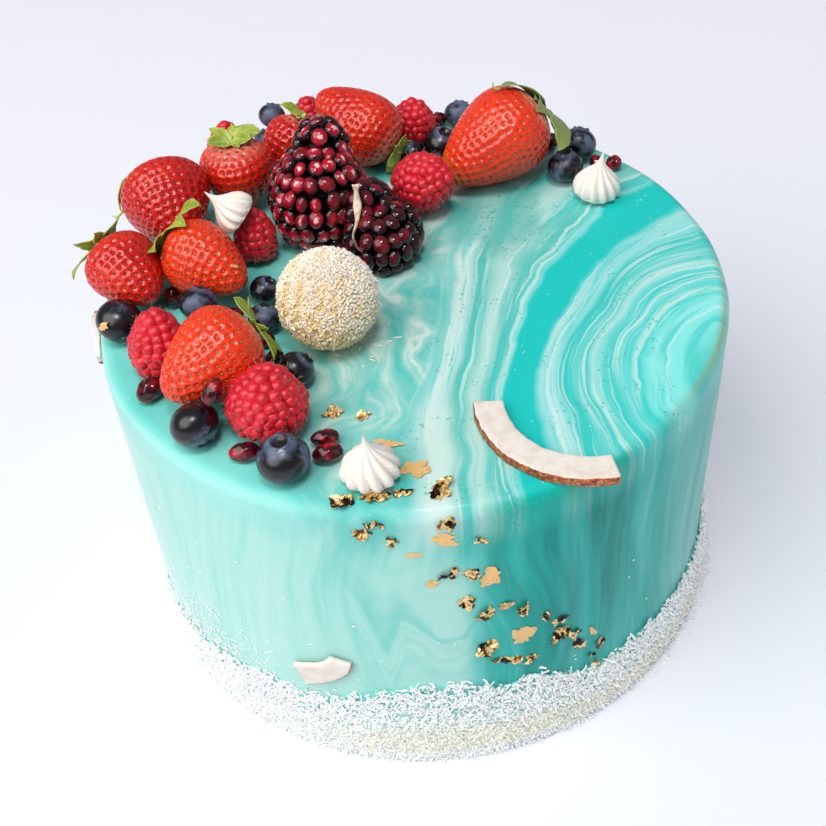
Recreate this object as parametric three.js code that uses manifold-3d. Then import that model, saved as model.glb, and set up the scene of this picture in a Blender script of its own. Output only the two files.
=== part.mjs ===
// A round coconut mousse cake under a marbled mirror glaze, with desiccated coconut round its foot
// and a crescent of berries, pomegranate, meringue kisses, a coconut truffle and coconut slices on top.
// Millimetres, +Z up. The origin is the centre of the foot, and the front of the cake faces -Y.
import * as THREE from "three";
import { mergeVertices } from "three/addons/utils/BufferGeometryUtils.js";
import Module from "manifold-3d";

const wasm = await Module();
wasm.setup();

// Driving dimensions of the cake
const CAKE_RADIUS = 90;
const CAKE_HEIGHT = 109;
const RIM_ROUNDING = 4;
const FOOT_ROUNDING = 1;
const CLEARANCE = 0.3;

// Fineness of the faceted shapes
const CAKE_SEGMENTS = 60;
const RIM_STEPS = 3;
const BORDER_SEGMENTS = 96;
const WELD = 1e-4;

const TURN = 2 * Math.PI;
const UP = new THREE.Vector3(0, 0, 1);
const degrees = THREE.MathUtils.degToRad;

// One seeded source of chance, so that the part is the same each time.
function chance(seed) {
  let state = seed;
  return () => {
    state = (state * 1664525 + 1013904223) % 4294967296;
    return state / 4294967296;
  };
}

// Closed shapes and joins

function welded(geometry) {
  const bare = new THREE.BufferGeometry();
  bare.setAttribute("position", geometry.getAttribute("position"));
  bare.setIndex(geometry.index);
  return mergeVertices(bare, WELD);
}

function solidOf(geometry) {
  const closed = welded(geometry);
  const mesh = new wasm.Mesh({
    numProp: 3,
    vertProperties: closed.getAttribute("position").array,
    triVerts: new Uint32Array(closed.index.array),
  });
  return new wasm.Manifold(mesh);
}

function geometryOf(solid) {
  const mesh = solid.getMesh();
  const geometry = new THREE.BufferGeometry();
  geometry.setAttribute("position", new THREE.BufferAttribute(new Float32Array(mesh.vertProperties), 3));
  geometry.setIndex(new THREE.BufferAttribute(new Uint32Array(mesh.triVerts), 1));
  return geometry;
}

function joined(base, additions) {
  const whole = additions.reduce((sum, piece) => sum.add(solidOf(piece)), solidOf(base));
  return geometryOf(whole);
}

// A ball whose every point is placed by a rule from its fraction down from the pole, its angle, row and
// column.
function ball(columns, rows, rule) {
  const sphere = welded(new THREE.SphereGeometry(1, columns, rows).rotateX(Math.PI / 2));
  const position = sphere.getAttribute("position");
  const point = new THREE.Vector3();
  for (let i = 0; i < position.count; i++) {
    point.fromBufferAttribute(position, i);
    const down = Math.acos(THREE.MathUtils.clamp(point.z, -1, 1)) / Math.PI;
    const angle = Math.atan2(point.y, point.x);
    const row = Math.round(down * rows);
    const column = Math.round((angle / TURN) * columns);
    const placed = rule(row / rows, angle, row, column);
    position.setXYZ(i, placed[0], placed[1], placed[2]);
  }
  return sphere;
}

// Turns a shape's own +Z towards a direction, spins it about that, and sets it in place.
function set(geometry, at, towards, spin = 0) {
  const turn = new THREE.Quaternion().setFromUnitVectors(UP, new THREE.Vector3(...towards).normalize());
  return geometry.rotateZ(spin).applyQuaternion(turn).translate(...at);
}

function above(place) {
  return [place[0], place[1], place[2] + CAKE_HEIGHT];
}

// Lifts a piece, where it needs it, to stand clear of the glaze below it.
function rested(geometry) {
  geometry.computeBoundingBox();
  const lift = CAKE_HEIGHT + CLEARANCE - geometry.boundingBox.min.z;
  return lift > 0 ? geometry.translate(0, 0, lift) : geometry;
}

// A soft fruit pressed in where a neighbour, given a little larger than it is, leans on it.
function pressed(fruit, neighbour) {
  return geometryOf(solidOf(fruit).subtract(solidOf(neighbour)));
}

// The glazed body, with flakes of gold leaf pressed on its top and down its front

const LEAF_THICKNESS = 1.2;
const LEAF_CORNERS = 5;

// Gold on top: x, y, length, width, turn in degrees.
const TOP_FLAKES = [
  [-23, -53, 5, 3, 30],
  [-15.5, -55, 4, 2.5, 0],
  [-10, -65.5, 6, 3, -10],
  [-3, -75, 7, 5, 20],
  [2.5, -82.5, 6, 5, 60],
  [-21.5, -84, 5, 4.5, 45],
  [-13.5, -83, 7, 4, 10],
  [-7, -82.5, 4, 3, 0],
];

// Gold on the side: degrees round from +X, height, length along the rim, height of the flake, turn in
// degrees.
const SIDE_FLAKES = [
  [-101, 102.5, 4, 3.5, 20],
  [-96.5, 100, 3, 3, 0],
  [-99, 106, 4, 2.5, 10],
  [-88, 105, 4, 5, 0],
  [-88.5, 99.5, 6.5, 4, -15],
  [-93.5, 94.5, 3.5, 2, 0],
  [-83, 97.5, 4, 1.8, 0],
  [-91, 83, 3.5, 2.5, 0],
  [-88, 86, 5, 4, 30],
  [-84.5, 85, 5, 3, -20],
  [-81.5, 82.5, 6, 6, 40],
  [-85.5, 74, 5, 4, 20],
  [-82.5, 67.5, 5, 4.5, 0],
  [-79, 69.5, 3.5, 3, 30],
  [-76, 66, 4, 4, 0],
  [-72, 59.5, 3, 3, 0],
  [-69, 55, 4.5, 3.5, -25],
  [-76, 54.5, 5.5, 8, 15],
  [-69, 49, 6, 5, 20],
  [-66, 46, 4, 4, 0],
  [-65, 40, 4, 4.5, 30],
  [-82.5, 52.5, 6.5, 6, 0],
  [-78.5, 44.5, 7, 3.5, -20],
  [-74.5, 42.5, 4, 3, 0],
  [-60, 35, 3, 4.5, 40],
];

function cakeBody() {
  const profile = [new THREE.Vector2(0, 0), new THREE.Vector2(CAKE_RADIUS - FOOT_ROUNDING, 0)];
  profile.push(new THREE.Vector2(CAKE_RADIUS, FOOT_ROUNDING));
  for (let step = 0; step <= RIM_STEPS; step++) {
    const angle = (step / RIM_STEPS) * (Math.PI / 2);
    const radius = CAKE_RADIUS - RIM_ROUNDING * (1 - Math.cos(angle));
    profile.push(new THREE.Vector2(radius, CAKE_HEIGHT - RIM_ROUNDING * (1 - Math.sin(angle))));
  }
  profile.push(new THREE.Vector2(0, CAKE_HEIGHT));
  return new THREE.LatheGeometry(profile, CAKE_SEGMENTS).rotateX(Math.PI / 2);
}

// A flake is a thin five-cornered plate with a torn outline, half sunk in the glaze.
function goldFlake(length, width, turn, random) {
  const disc = new THREE.CylinderGeometry(0.5, 0.5, LEAF_THICKNESS, LEAF_CORNERS);
  const plate = welded(disc.rotateX(Math.PI / 2));
  const position = plate.getAttribute("position");
  const corner = new THREE.Vector3();
  const reach = Array.from({ length: LEAF_CORNERS }, () => 0.75 + 0.5 * random());
  for (let i = 0; i < position.count; i++) {
    corner.fromBufferAttribute(position, i);
    const place = Math.round((Math.atan2(corner.y, corner.x) / TURN) * LEAF_CORNERS);
    const torn = reach[(place + LEAF_CORNERS) % LEAF_CORNERS];
    position.setXYZ(i, corner.x * torn * length, corner.y * torn * width, corner.z);
  }
  return plate.rotateZ(degrees(turn));
}

function glazedCake() {
  const random = chance(7);
  const flakes = TOP_FLAKES.map(([x, y, length, width, turn]) =>
    goldFlake(length, width, turn, random).translate(x, y, CAKE_HEIGHT),
  );
  for (const [around, height, length, width, turn] of SIDE_FLAKES) {
    const angle = degrees(around);
    const flake = goldFlake(width, length, turn, random).rotateY(Math.PI / 2).rotateZ(angle);
    flakes.push(flake.translate(CAKE_RADIUS * Math.cos(angle), CAKE_RADIUS * Math.sin(angle), height));
  }
  return joined(cakeBody(), flakes);
}

// The border: a skin of desiccated coconut round the foot, thick below and ragged at its upper edge

const BORDER_INNER = (CAKE_RADIUS + CLEARANCE) / Math.cos(Math.PI / BORDER_SEGMENTS);
const BORDER_THICKNESS = [1.0, 1.5, 1.5, 1.3, 1.1, 0.8];
const BORDER_RISE = [0, 0.16, 0.36, 0.58, 0.8, 1];
const SHRED_RELIEF = 0.3;
const RAGGED_EDGE = 2.2;

// The height of the upper edge at degrees round from +X: highest at the front, lowest at the left.
const BORDER_EDGE = [
  [-180, 15], [-152, 16], [-136, 23], [-126, 27.5], [-112, 28], [-103, 34], [-95, 38.5], [-88, 38],
  [-80, 33.5], [-73, 35], [-66, 28], [-58, 24.5], [-41, 24], [-27, 22], [5, 27], [45, 24], [90, 28],
  [130, 22], [180, 15],
];
// How many times its usual thickness the heap has at degrees round: most at the right, where it lies loose.
const BORDER_HEAP = [
  [-180, 1.2], [-150, 1.1], [-120, 1], [-75, 1], [-50, 1.3], [-20, 2], [20, 1.9], [60, 1.4], [180, 1.2],
];

// Reads a table of [place, value] by straight lines between its places.
function readTable(table, place) {
  const next = Math.max(1, table.findIndex(([known]) => known >= place));
  const [[from, low], [to, high]] = [table[next - 1], table[next]];
  return THREE.MathUtils.lerp(low, high, (place - from) / (to - from));
}

function coconutBorder() {
  const random = chance(11);
  const rings = BORDER_THICKNESS.length;
  const sections = rings + 2;
  const edge = Array.from({ length: BORDER_SEGMENTS }, () => RAGGED_EDGE * (random() - 0.5));
  const relief = Array.from({ length: BORDER_SEGMENTS * rings }, () => SHRED_RELIEF * (2 * random() - 1));
  const ring = welded(new THREE.TorusGeometry(2, 1, sections, BORDER_SEGMENTS));
  const position = ring.getAttribute("position");
  for (let i = 0; i < position.count; i++) {
    const [x, y, z] = [position.getX(i), position.getY(i), position.getZ(i)];
    const angle = Math.atan2(y, x);
    const column = (Math.round((angle / TURN) * BORDER_SEGMENTS) + BORDER_SEGMENTS) % BORDER_SEGMENTS;
    const turned = Math.round((Math.atan2(z, Math.hypot(x, y) - 2) / TURN) * sections);
    const place = (turned + sections) % sections;
    const around = THREE.MathUtils.radToDeg(angle);
    const height = readTable(BORDER_EDGE, around) + edge[column];
    let radius = BORDER_INNER;
    let rise = place === rings ? height - 1 : 0;
    if (place < rings) {
      const heap = place === 0 ? 1 : readTable(BORDER_HEAP, around);
      radius += BORDER_THICKNESS[place] * heap + relief[column * rings + place];
      rise = BORDER_RISE[place] * height;
    }
    position.setXYZ(i, radius * Math.cos(angle), radius * Math.sin(angle), rise);
  }
  return ring;
}

// Strawberries: the tip looks along a direction, and the calyx sits on the other end

const STRAWBERRY_COLUMNS = 14;
const STRAWBERRY_ROWS = 8;
const SEPAL_THICKNESS = 0.8;
const SEPAL_LIFT = 0.9;
const SEPAL_VALLEY = 1.6;
const CALYX_DEPTH = 1.2;
// The points that shape one sepal: degrees from its middle line and fraction of its length.
const SEPAL_POINTS = [
  [-24, 0.52],
  [0, 1],
  [24, 0.52],
];

// Each: centre above the glaze, where the tip looks, length, width,
// and the sepals as [degrees round, length, curl up of the end].
const STRAWBERRIES = [
  { at: [-69.7, 28.3, 13], tip: [0.3, -0.8, -0.3], length: 26.5, width: 26.5,
    sepals: [[150, 12, 4], [90, 9, 3], [30, 9, 2], [-40, 8, 2], [-110, 8, 2]] },
  { at: [-78.6, -0.7, 10.9], tip: [0.55, -0.75, -0.2], length: 23.5, width: 21,
    sepals: [[160, 11, 4], [100, 9, 4], [45, 8, 3], [-30, 7, 2], [-120, 8, 3]] },
  { at: [-56.5, 0.3, 11.4], tip: [0.72, -0.62, -0.12], length: 26.5, width: 21.8,
    sepals: [[150, 9, 1], [90, 9, 2], [30, 10, 3], [-30, 8, 2], [-115, 5.5, 0]] },
  { at: [-50, 44, 11.4], tip: [0.05, -0.1, -1], length: 22.5, width: 23,
    sepals: [[-140, 10, 1], [-90, 9, 1], [-30, 10, 2], [40, 8, 3], [130, 8, 3]] },
  { at: [-53.5, -43, 12.4], tip: [-0.78, -0.6, -0.18], length: 28.5, width: 24.5,
    sepals: [[90, 10, 5], [20, 8, 4], [-50, 11, 3], [-120, 7, 2], [160, 8, 3]] },
  { at: [-13, 64.5, 14.5], tip: [-0.75, 0.45, 0.45], length: 30, width: 23,
    sepals: [[0, 7, 1], [70, 7, 2], [140, 6, 1], [-70, 6, 1], [-140, 6, 1]] },
  { at: [28.7, 47.8, 13], tip: [-0.85, -0.38, -0.36], length: 36.5, width: 28.4,
    sepals: [[100, 14, -2], [45, 11, -1], [-15, 13, -2], [-75, 12, -1], [170, 10, 0]] },
  { at: [-36.2, 60, 10], tip: [-0.5, -0.35, -0.6], length: 21, width: 16,
    sepals: [[0, 6, 1], [72, 6, 1], [144, 6, 1], [-72, 6, 1], [-144, 6, 1]] },
];

// The radius swells quickly below the calyx, is widest a third of the way down and closes to a blunt tip.
function strawberryRadius(width, down) {
  return (width / 2) * Math.sin(Math.PI * down ** 0.64) ** (0.76 - 0.24 * down);
}

// The rows lie closer together near both ends, which rounds the shoulder and the tip.
function strawberryRow(row) {
  return (1 - Math.cos((Math.PI * row) / STRAWBERRY_ROWS)) / 2;
}

// How far the faceted berry has fallen below its top at a distance from its axis.
function shoulderFall(length, width, out) {
  let [radius, fall] = [0, 0];
  for (let row = 1; row <= STRAWBERRY_ROWS / 2; row++) {
    const next = strawberryRadius(width, strawberryRow(row));
    const lower = length * strawberryRow(row);
    if (next >= out) return fall + ((lower - fall) * (out - radius)) / (next - radius);
    [radius, fall] = [next, lower];
  }
  return fall + (out - radius);
}

function strawberryBody(length, width, random) {
  const lean = random() * TURN;
  return ball(STRAWBERRY_COLUMNS, STRAWBERRY_ROWS, (down, angle, row) => {
    const along = strawberryRow(row);
    const lump = 1 + 0.03 * Math.cos(2 * (angle - lean)) + 0.02 * Math.cos(3 * angle + lean);
    const radius = down === 0 || down === 1 ? 0 : strawberryRadius(width, along) * lump;
    return [radius * Math.cos(angle), radius * Math.sin(angle), length * (0.5 - along)];
  });
}

// The points round the calyx: each sepal's outline, then the valley before the next sepal.
function calyxPoints(sepals) {
  const points = [];
  const turned = [...sepals].sort((first, second) => first[0] - second[0]);
  turned.forEach(([around, length, curl], index) => {
    for (const [aside, reach] of SEPAL_POINTS) {
      points.push({ around: around + aside, out: length * reach, rise: curl * reach ** 2.2 });
    }
    const next = index + 1 < turned.length ? turned[index + 1][0] : turned[0][0] + 360;
    points.push({ around: (around + next) / 2, out: SEPAL_VALLEY, rise: 0 });
  });
  return points;
}

// The calyx is one thin star, its two faces split alike, fused to the berry at its middle.
function calyx(berryLength, berryWidth, sepals) {
  const points = calyxPoints(sepals);
  const star = welded(new THREE.CylinderGeometry(1, 1, 1, points.length, 1).rotateX(Math.PI / 2));
  const position = star.getAttribute("position");
  for (let i = 0; i < position.count; i++) {
    const [x, y, side] = [position.getX(i), position.getY(i), 2 * position.getZ(i)];
    const middle = Math.hypot(x, y) < 0.5;
    const place = Math.round((Math.atan2(y, x) / TURN) * points.length) + points.length;
    const { around, out, rise } = middle ? { around: 0, out: 0, rise: 0 } : points[place % points.length];
    const sunk = middle && side < 0 ? CALYX_DEPTH : 0;
    const berry = berryLength / 2 - shoulderFall(berryLength, berryWidth, out);
    const height = berry + SEPAL_LIFT + rise + (side * SEPAL_THICKNESS) / 2 - sunk;
    position.setXYZ(i, out * Math.cos(degrees(around)), out * Math.sin(degrees(around)), height);
  }
  return star;
}

function strawberry({ at, tip, length, width, sepals }, index) {
  const random = chance(101 + index);
  const whole = joined(strawberryBody(length, width, random), [calyx(length, width, sepals)]);
  return rested(set(whole, above(at), tip.map((part) => -part)));
}

// Raspberries: rows of drupelets, blunt at the apex and open at the stem end

const RASPBERRY_COLUMNS = 16;
const RASPBERRY_ROWS = 8;
const DRUPELET_RELIEF = 0.12;
const RASPBERRY_HOLLOW = 0.3;
const RASPBERRY_SPIN = 0.7;

const RASPBERRIES = [
  { at: [-68.3, -30.1, 10.4], apex: [0.05, 0.15, 1], length: 20, width: 16.2 },
  { at: [-38.6, -56, 9.8], apex: [0.1, 0.25, 1], length: 19, width: 20.8 },
  { at: [7.45, 32.7, 9.4], apex: [0.55, -0.45, 0.3], length: 20, width: 17.6 },
  { at: [5.35, 73.4, 8.2], apex: [0.05, 0.1, 1], length: 15.8, width: 14.8 },
  { at: [-54.5, 64, 9.6], apex: [0, 0.1, 1], length: 18.4, width: 14.2 },
  { at: [-44.25, 16.4, 8.7], apex: [0.1, 0.1, 1], length: 17, width: 13 },
  { at: [-28.7, 76.5, 9.4], apex: [0.05, -0.1, 1], length: 18.5, width: 13.5 },
];

// The swell of the berry from its apex, 0, to the rim round its open end, 1.
function raspberrySwell(along) {
  return Math.sin(Math.PI * (0.76 * along) ** 0.9) ** 0.6;
}

function raspberry({ at, apex, length, width }, index) {
  const berry = ball(RASPBERRY_COLUMNS, RASPBERRY_ROWS, (down, angle, row, column) => {
    const along = Math.min(1, row / (RASPBERRY_ROWS - 1));
    const raised = (row + column) % 2 === 0 ? 1 + DRUPELET_RELIEF / 2 : 1 - DRUPELET_RELIEF;
    const radius = down === 0 || down === 1 ? 0 : (width / 2) * raspberrySwell(along) * raised;
    const height = length * (0.5 - along) + (down === 1 ? RASPBERRY_HOLLOW * length : 0);
    return [radius * Math.cos(angle), radius * Math.sin(angle), height];
  });
  return rested(set(berry, above(at), apex, RASPBERRY_SPIN * index));
}

// Blueberries: flattened balls with a low round crown

const BLUEBERRY_COLUMNS = 8;
const BLUEBERRY_ROWS = 6;
const FLATNESS = 0.86;

// Each: centre above the glaze, radius, where the crown looks.
const BLUEBERRIES = [
  [[-81.2, -15.2, 5.9], 6.3, [-0.3, 0.3, -0.9]],
  [[-59, -13.8, 8.4], 5.5, [0.3, 0.5, 0.8]],
  [[-41.2, -17, 4.1], 4.6, [0.2, 0.3, 0.9]],
  [[-41.5, -4.5, 4.1], 4.4, [0.5, 0, 0.8]],
  [[-32, -40, 4.8], 5, [0.7, 0.2, 0.6]],
  [[-57.2, -59.1, 6.2], 6.4, [0.4, -0.6, -0.6]],
  [[-34.8, -73.2, 6], 6.7, [-0.05, 0.05, 1]],
  [[-40, 73.4, 14.2], 4.4, [0.2, 0.4, 0.9]],
  [[-43, 71, 6.4], 4.4, [-0.5, 0.4, 0.7]],
  [[13.5, 63, 5.1], 5.7, [0.3, -0.15, 0.9]],
  [[21, 80.5, 4.8], 5, [0.2, 0.6, 0.7]],
  [[51, 44, 5.1], 5.7, [-0.05, 0.15, 1]],
  [[56.8, 55.3, 5.6], 5.8, [0.3, 0.6, 0.8]],
  [[-6, 82.5, 4.1], 4.5, [0, 0.6, 0.8]],
  [[4, 61, 4], 4, [-0.5, 0, 0.8]],
];

// The crown is a shallow dimple at the pole inside a raised ring.
function blueberry([at, radius, crown]) {
  const dimple = 0.72;
  const berry = ball(BLUEBERRY_COLUMNS, BLUEBERRY_ROWS, (down, angle, row) => {
    const polar = Math.PI * down;
    const lift = row === 0 ? dimple : Math.cos(polar);
    const flare = row === 1 ? 0.82 : Math.sin(polar);
    const ring = row === 1 ? 0.4 : flare;
    return [radius * ring * Math.cos(angle), radius * ring * Math.sin(angle), radius * FLATNESS * lift];
  });
  return rested(set(berry, above(at), crown));
}

// Loose pomegranate arils: short pointed drops with flat facets

const ARIL_COLUMNS = 6;
const ARIL_ROWS = 4;

// Each: centre above the glaze, where its point looks, length, width.
const ARILS = [
  [[-68, -3.4, 3.4], [0, 0.3, 1], 6.4, 4.6],
  [[-70.8, -41.8, 3.4], [0.6, 0.5, 0.3], 8, 6.4],
  [[-51.4, -57.6, 15], [0.5, 0.5, 0.7], 8, 4.8],
  [[-45, -66.8, 2.7], [1, 0.05, 0.05], 8.2, 5],
  [[-25, -64, 2.6], [1, 0.1, 0], 7.6, 4.6],
  [[-24.3, -69.6, 2.8], [1, 0.15, 0], 8, 5.2],
  [[-50.2, -12.5, 2.3], [1, 0.3, 0.1], 6, 4.2],
  [[-41, -24.2, 2.2], [1, 0, 0.1], 5.6, 4.2],
  [[-38.5, -32, 2.3], [0.7, 0.4, 0.2], 6, 4.4],
  [[14, 82.5, 2.5], [1, 0.2, 0.1], 5.6, 4.6],
  [[49, 62.5, 2.7], [0.4, 0.6, 0.4], 6, 4.8],
  [[61.5, 48.6, 2.5], [0.2, 1, 0.1], 5.4, 4.6],
  [[66.8, 47.5, 2.5], [0.8, 0.4, 0.1], 5.4, 4.6],
  [[-69.5, 15, 4.5], [0.5, 0.3, 0.6], 6, 4.2],
];

function arilShape(length, width, columns = ARIL_COLUMNS, rows = ARIL_ROWS) {
  return ball(columns, rows, (down, angle) => {
    const radius = (width / 2) * Math.sin(Math.PI * down) ** 0.55 * (0.85 + 0.25 * down);
    const girth = down === 0 || down === 1 ? 0 : radius;
    return [girth * Math.cos(angle), girth * Math.sin(angle), length * (0.5 - down)];
  });
}

function looseAril([at, point, length, width], index) {
  return rested(set(arilShape(length, width), above(at), point, index));
}

// The broken chunk of pomegranate: arils packed over two lobes, with the cream membrane between them

const CHUNK_ARIL = 7.2;
const CHUNK_WIDTH = 7.6;
const CHUNK_SPACING = 6.8;
const CHUNK_FLOOR = 2.4;
const MEMBRANE_THICKNESS = 1.6;
const MEMBRANE_STEPS = 6;

// Each lobe: centre above the glaze, half sizes, lean of its top in degrees about X.
const LOBES = [
  { at: [-25.1, 27.7, 12], half: [13.2, 14.6, 15.6], lean: -8 },
  { at: [-23, 34, 24], half: [7, 7.5, 9], lean: 0 },
  { at: [-7.2, 14.2, 6.4], half: [10.2, 12.6, 8.2], lean: 0 },
  { at: [-12, 21.2, 10.2], half: [8.2, 9.8, 8.8], lean: 0 },
];

function lobeCore({ at, half, lean }) {
  const core = ball(10, 6, (down, angle) => {
    const ring = Math.sin(Math.PI * down);
    const lift = Math.cos(Math.PI * down);
    return [half[0] * ring * Math.cos(angle), half[1] * ring * Math.sin(angle), half[2] * lift];
  });
  return core.rotateX(degrees(lean)).translate(...above(at));
}

// How far a place lies inside a lobe: under 1 is inside.
function depthIn({ at, half, lean }, place) {
  const local = place.clone().sub(new THREE.Vector3(...above(at)));
  local.applyAxisAngle(new THREE.Vector3(1, 0, 0), -degrees(lean));
  return Math.hypot(local.x / half[0], local.y / half[1], local.z / half[2]);
}

// Rings of places over each lobe, an aril apart, leaving out what lies inside another lobe or too low.
function chunkPlaces() {
  const random = chance(23);
  const places = [];
  LOBES.forEach((lobe, index) => {
    const girth = (lobe.half[0] + lobe.half[1]) / 2;
    const rows = Math.round((Math.PI * (girth + lobe.half[2])) / 2 / CHUNK_SPACING);
    for (let row = 0; row <= rows; row++) {
      const polar = (Math.PI * row) / rows;
      const count = Math.max(1, Math.round((TURN * girth * Math.sin(polar)) / CHUNK_SPACING));
      for (let step = 0; step < count; step++) {
        const angle = (TURN * (step + 0.5 * (row % 2) + 0.25 * random())) / count;
        const out = new THREE.Vector3(
          lobe.half[0] * Math.sin(polar) * Math.cos(angle),
          lobe.half[1] * Math.sin(polar) * Math.sin(angle),
          lobe.half[2] * Math.cos(polar),
        );
        const normal = new THREE.Vector3(
          out.x / lobe.half[0] ** 2,
          out.y / lobe.half[1] ** 2,
          out.z / lobe.half[2] ** 2,
        ).normalize();
        const axis = new THREE.Vector3(1, 0, 0);
        out.applyAxisAngle(axis, degrees(lobe.lean)).add(new THREE.Vector3(...above(lobe.at)));
        normal.applyAxisAngle(axis, degrees(lobe.lean));
        const low = out.z < CAKE_HEIGHT + CHUNK_FLOOR + 0.6;
        const buried = LOBES.some((other, at) => at !== index && depthIn(other, out) < 1);
        const crowded = places.some((place) => place.out.distanceTo(out) < 0.72 * CHUNK_SPACING);
        if (!low && !buried && !crowded) places.push({ out, normal });
      }
    }
  });
  return places;
}

// The torn edge of the membrane between the lobes: a thin strip that tapers and waves.
function membrane() {
  const strip = welded(new THREE.BoxGeometry(1, 1, MEMBRANE_THICKNESS, MEMBRANE_STEPS, 1, 1));
  const position = strip.getAttribute("position");
  for (let i = 0; i < position.count; i++) {
    const along = position.getX(i) + 0.5;
    const width = 5.2 - 2.8 * along;
    const wave = 0.8 * Math.sin(9 * along);
    position.setXYZ(i, 26 * (along - 0.5), position.getY(i) * width, position.getZ(i) + wave);
  }
  return strip.rotateX(Math.PI / 2);
}

function pomegranateChunk() {
  const floor = CAKE_HEIGHT + CLEARANCE;
  const slab = new THREE.BoxGeometry(120, 120, 40).translate(-20, 25, floor - 20);
  const arils = chunkPlaces().map(({ out, normal }) => {
    const seed = arilShape(CHUNK_ARIL, CHUNK_WIDTH, 4, 3);
    return set(seed, out.toArray(), normal.toArray().map((part) => -part), out.x + out.y);
  });
  const cores = LOBES.slice(1).map(lobeCore);
  const edge = membrane().rotateY(degrees(35)).rotateZ(degrees(-75)).translate(...above([-13, 21, 12]));
  const whole = joined(lobeCore(LOBES[0]), [...cores, edge, ...arils]);
  return geometryOf(solidOf(whole).subtract(solidOf(slab)));
}

// The coconut truffle: a ball rough with shreds

const TRUFFLE = { at: [-22.8, -23.2, 13.7], radius: 13.5 };

function coconutTruffle() {
  const random = chance(31);
  const rough = ball(16, 11, (down, angle) => {
    const radius = TRUFFLE.radius + 0.7 * (random() - 0.5);
    const polar = Math.PI * down;
    const ring = Math.sin(polar);
    return [radius * ring * Math.cos(angle), radius * ring * Math.sin(angle), radius * Math.cos(polar)];
  });
  return rested(rough.translate(...above(TRUFFLE.at)));
}

// Meringue kisses: fluted drops drawn up to a fine tip

const FLUTES = 12;
const FLUTE_DEPTH = 0.13;
// The outline from the base to the drawn tip, as fractions of the radius and of the height.
const KISS_OUTLINE = [
  [0, 0],
  [0.8, 0],
  [1, 0.2],
  [0.9, 0.4],
  [0.5, 0.6],
  [0.15, 0.78],
  [0, 1],
];

// Each: middle of the base above the glaze, where the tip looks, radius, height.
const MERINGUES = [
  [[-13.8, -76.6, 0.8], [-0.06, 0.03, 1], 7.6, 14],
  [[-46.5, 13.4, 17.1], [-0.75, 0.1, 0.65], 6.5, 13],
  [[58.8, 33.7, 0.9], [0.12, 0.02, 1], 7.4, 14.6],
];

function meringueKiss([at, tip, radius, height]) {
  const rows = KISS_OUTLINE.length - 1;
  const kiss = ball(2 * FLUTES, rows, (down, angle, row, column) => {
    const [reach, rise] = KISS_OUTLINE[rows - row];
    const fluted = column % 2 === 0 ? 1 : 1 - FLUTE_DEPTH;
    const ring = radius * reach * fluted;
    return [ring * Math.cos(angle), ring * Math.sin(angle), height * rise];
  });
  return rested(set(kiss, above(at), tip));
}

// Coconut slices: curved shavings of white flesh with a strip of brown rind on the outer edge

const SLICE_THICKNESS = 3;
const SHAVING_THICKNESS = 1.5;

// A band between two arcs about one centre, from one angle to another.
function arcBand(innerRadius, outerRadius, from, to, thickness) {
  const band = new THREE.Shape();
  band.absarc(0, 0, outerRadius, degrees(from), degrees(to), false);
  band.absarc(0, 0, innerRadius, degrees(to), degrees(from), true);
  band.closePath();
  return new THREE.ExtrudeGeometry(band, { depth: thickness, bevelEnabled: false, curveSegments: 9 });
}

// The slice lies flat on the front right of the top, and its right end reaches over the rim.
function topSlice() {
  return arcBand(20.5, 28.4, 176, 278.5, SLICE_THICKNESS).translate(41, -57.5, CAKE_HEIGHT + CLEARANCE);
}

// The second slice stands flat against the left of the cake's side, its back end above the rim.
function leftSlice() {
  const standOff = CAKE_RADIUS + 0.6;
  const band = arcBand(12, 17, 195, 250, SHAVING_THICKNESS);
  return band.rotateX(Math.PI / 2).rotateZ(-Math.PI / 2).translate(-standOff, -15.5, CAKE_HEIGHT + 2);
}

// The chip is a small curved offcut stuck low on the front.
function sideChip() {
  const chip = new THREE.Shape();
  chip.moveTo(-9, 2);
  chip.lineTo(-1.5, 5.5);
  chip.quadraticCurveTo(1, 6.5, 2.5, 9.5);
  chip.lineTo(9, 8);
  chip.quadraticCurveTo(9.5, 4, 5, 0.5);
  chip.quadraticCurveTo(0, -4, -5.5, -6.5);
  chip.closePath();
  const flat = new THREE.ExtrudeGeometry(chip, { depth: 1.6, bevelEnabled: false, curveSegments: 4 });
  const around = degrees(-111.5);
  const reach = CAKE_RADIUS + 0.9;
  return flat
    .rotateX(Math.PI / 2)
    .rotateZ(around + Math.PI / 2)
    .translate(reach * Math.cos(around), reach * Math.sin(around), 39.5);
}

// Two raspberries are pressed in: one by the strawberry behind it, one by the meringue lying on it.
const PRESSING = 0.8;

function heapedRaspberry(row, index) {
  const berry = raspberry(row, index);
  if (index === 1) {
    const { at, tip, length, width } = STRAWBERRIES[4];
    const body = strawberryBody(length + PRESSING, width + PRESSING, chance(105));
    return pressed(berry, rested(set(body, above(at), tip.map((part) => -part))));
  }
  if (index === 5) {
    const [at, tip, radius, height] = MERINGUES[1];
    const back = new THREE.Vector3(...tip).setLength(PRESSING / 2);
    const base = new THREE.Vector3(...at).sub(back).toArray();
    return pressed(berry, meringueKiss([base, tip, radius + PRESSING / 2, height + PRESSING]));
  }
  return berry;
}

// Colours and finishes

function finish(color, roughness) {
  return () => new THREE.MeshStandardMaterial({ color, roughness, metalness: 0 });
}

const glaze = finish(0x62d3c9, 0.12);
const coconut = finish(0xf1ede2, 0.9);
const strawberrySkin = finish(0xd3231c, 0.35);
const raspberrySkin = finish(0xc42a3c, 0.5);
const blueberrySkin = finish(0x2b3346, 0.55);
const pomegranateSkin = finish(0x7a0f1e, 0.15);
const truffleCoat = finish(0xe9dfca, 0.95);
const meringue = finish(0xf6f2ec, 0.7);
const coconutFlesh = finish(0xf0e9e2, 0.6);

const cake = new THREE.Group();

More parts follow.
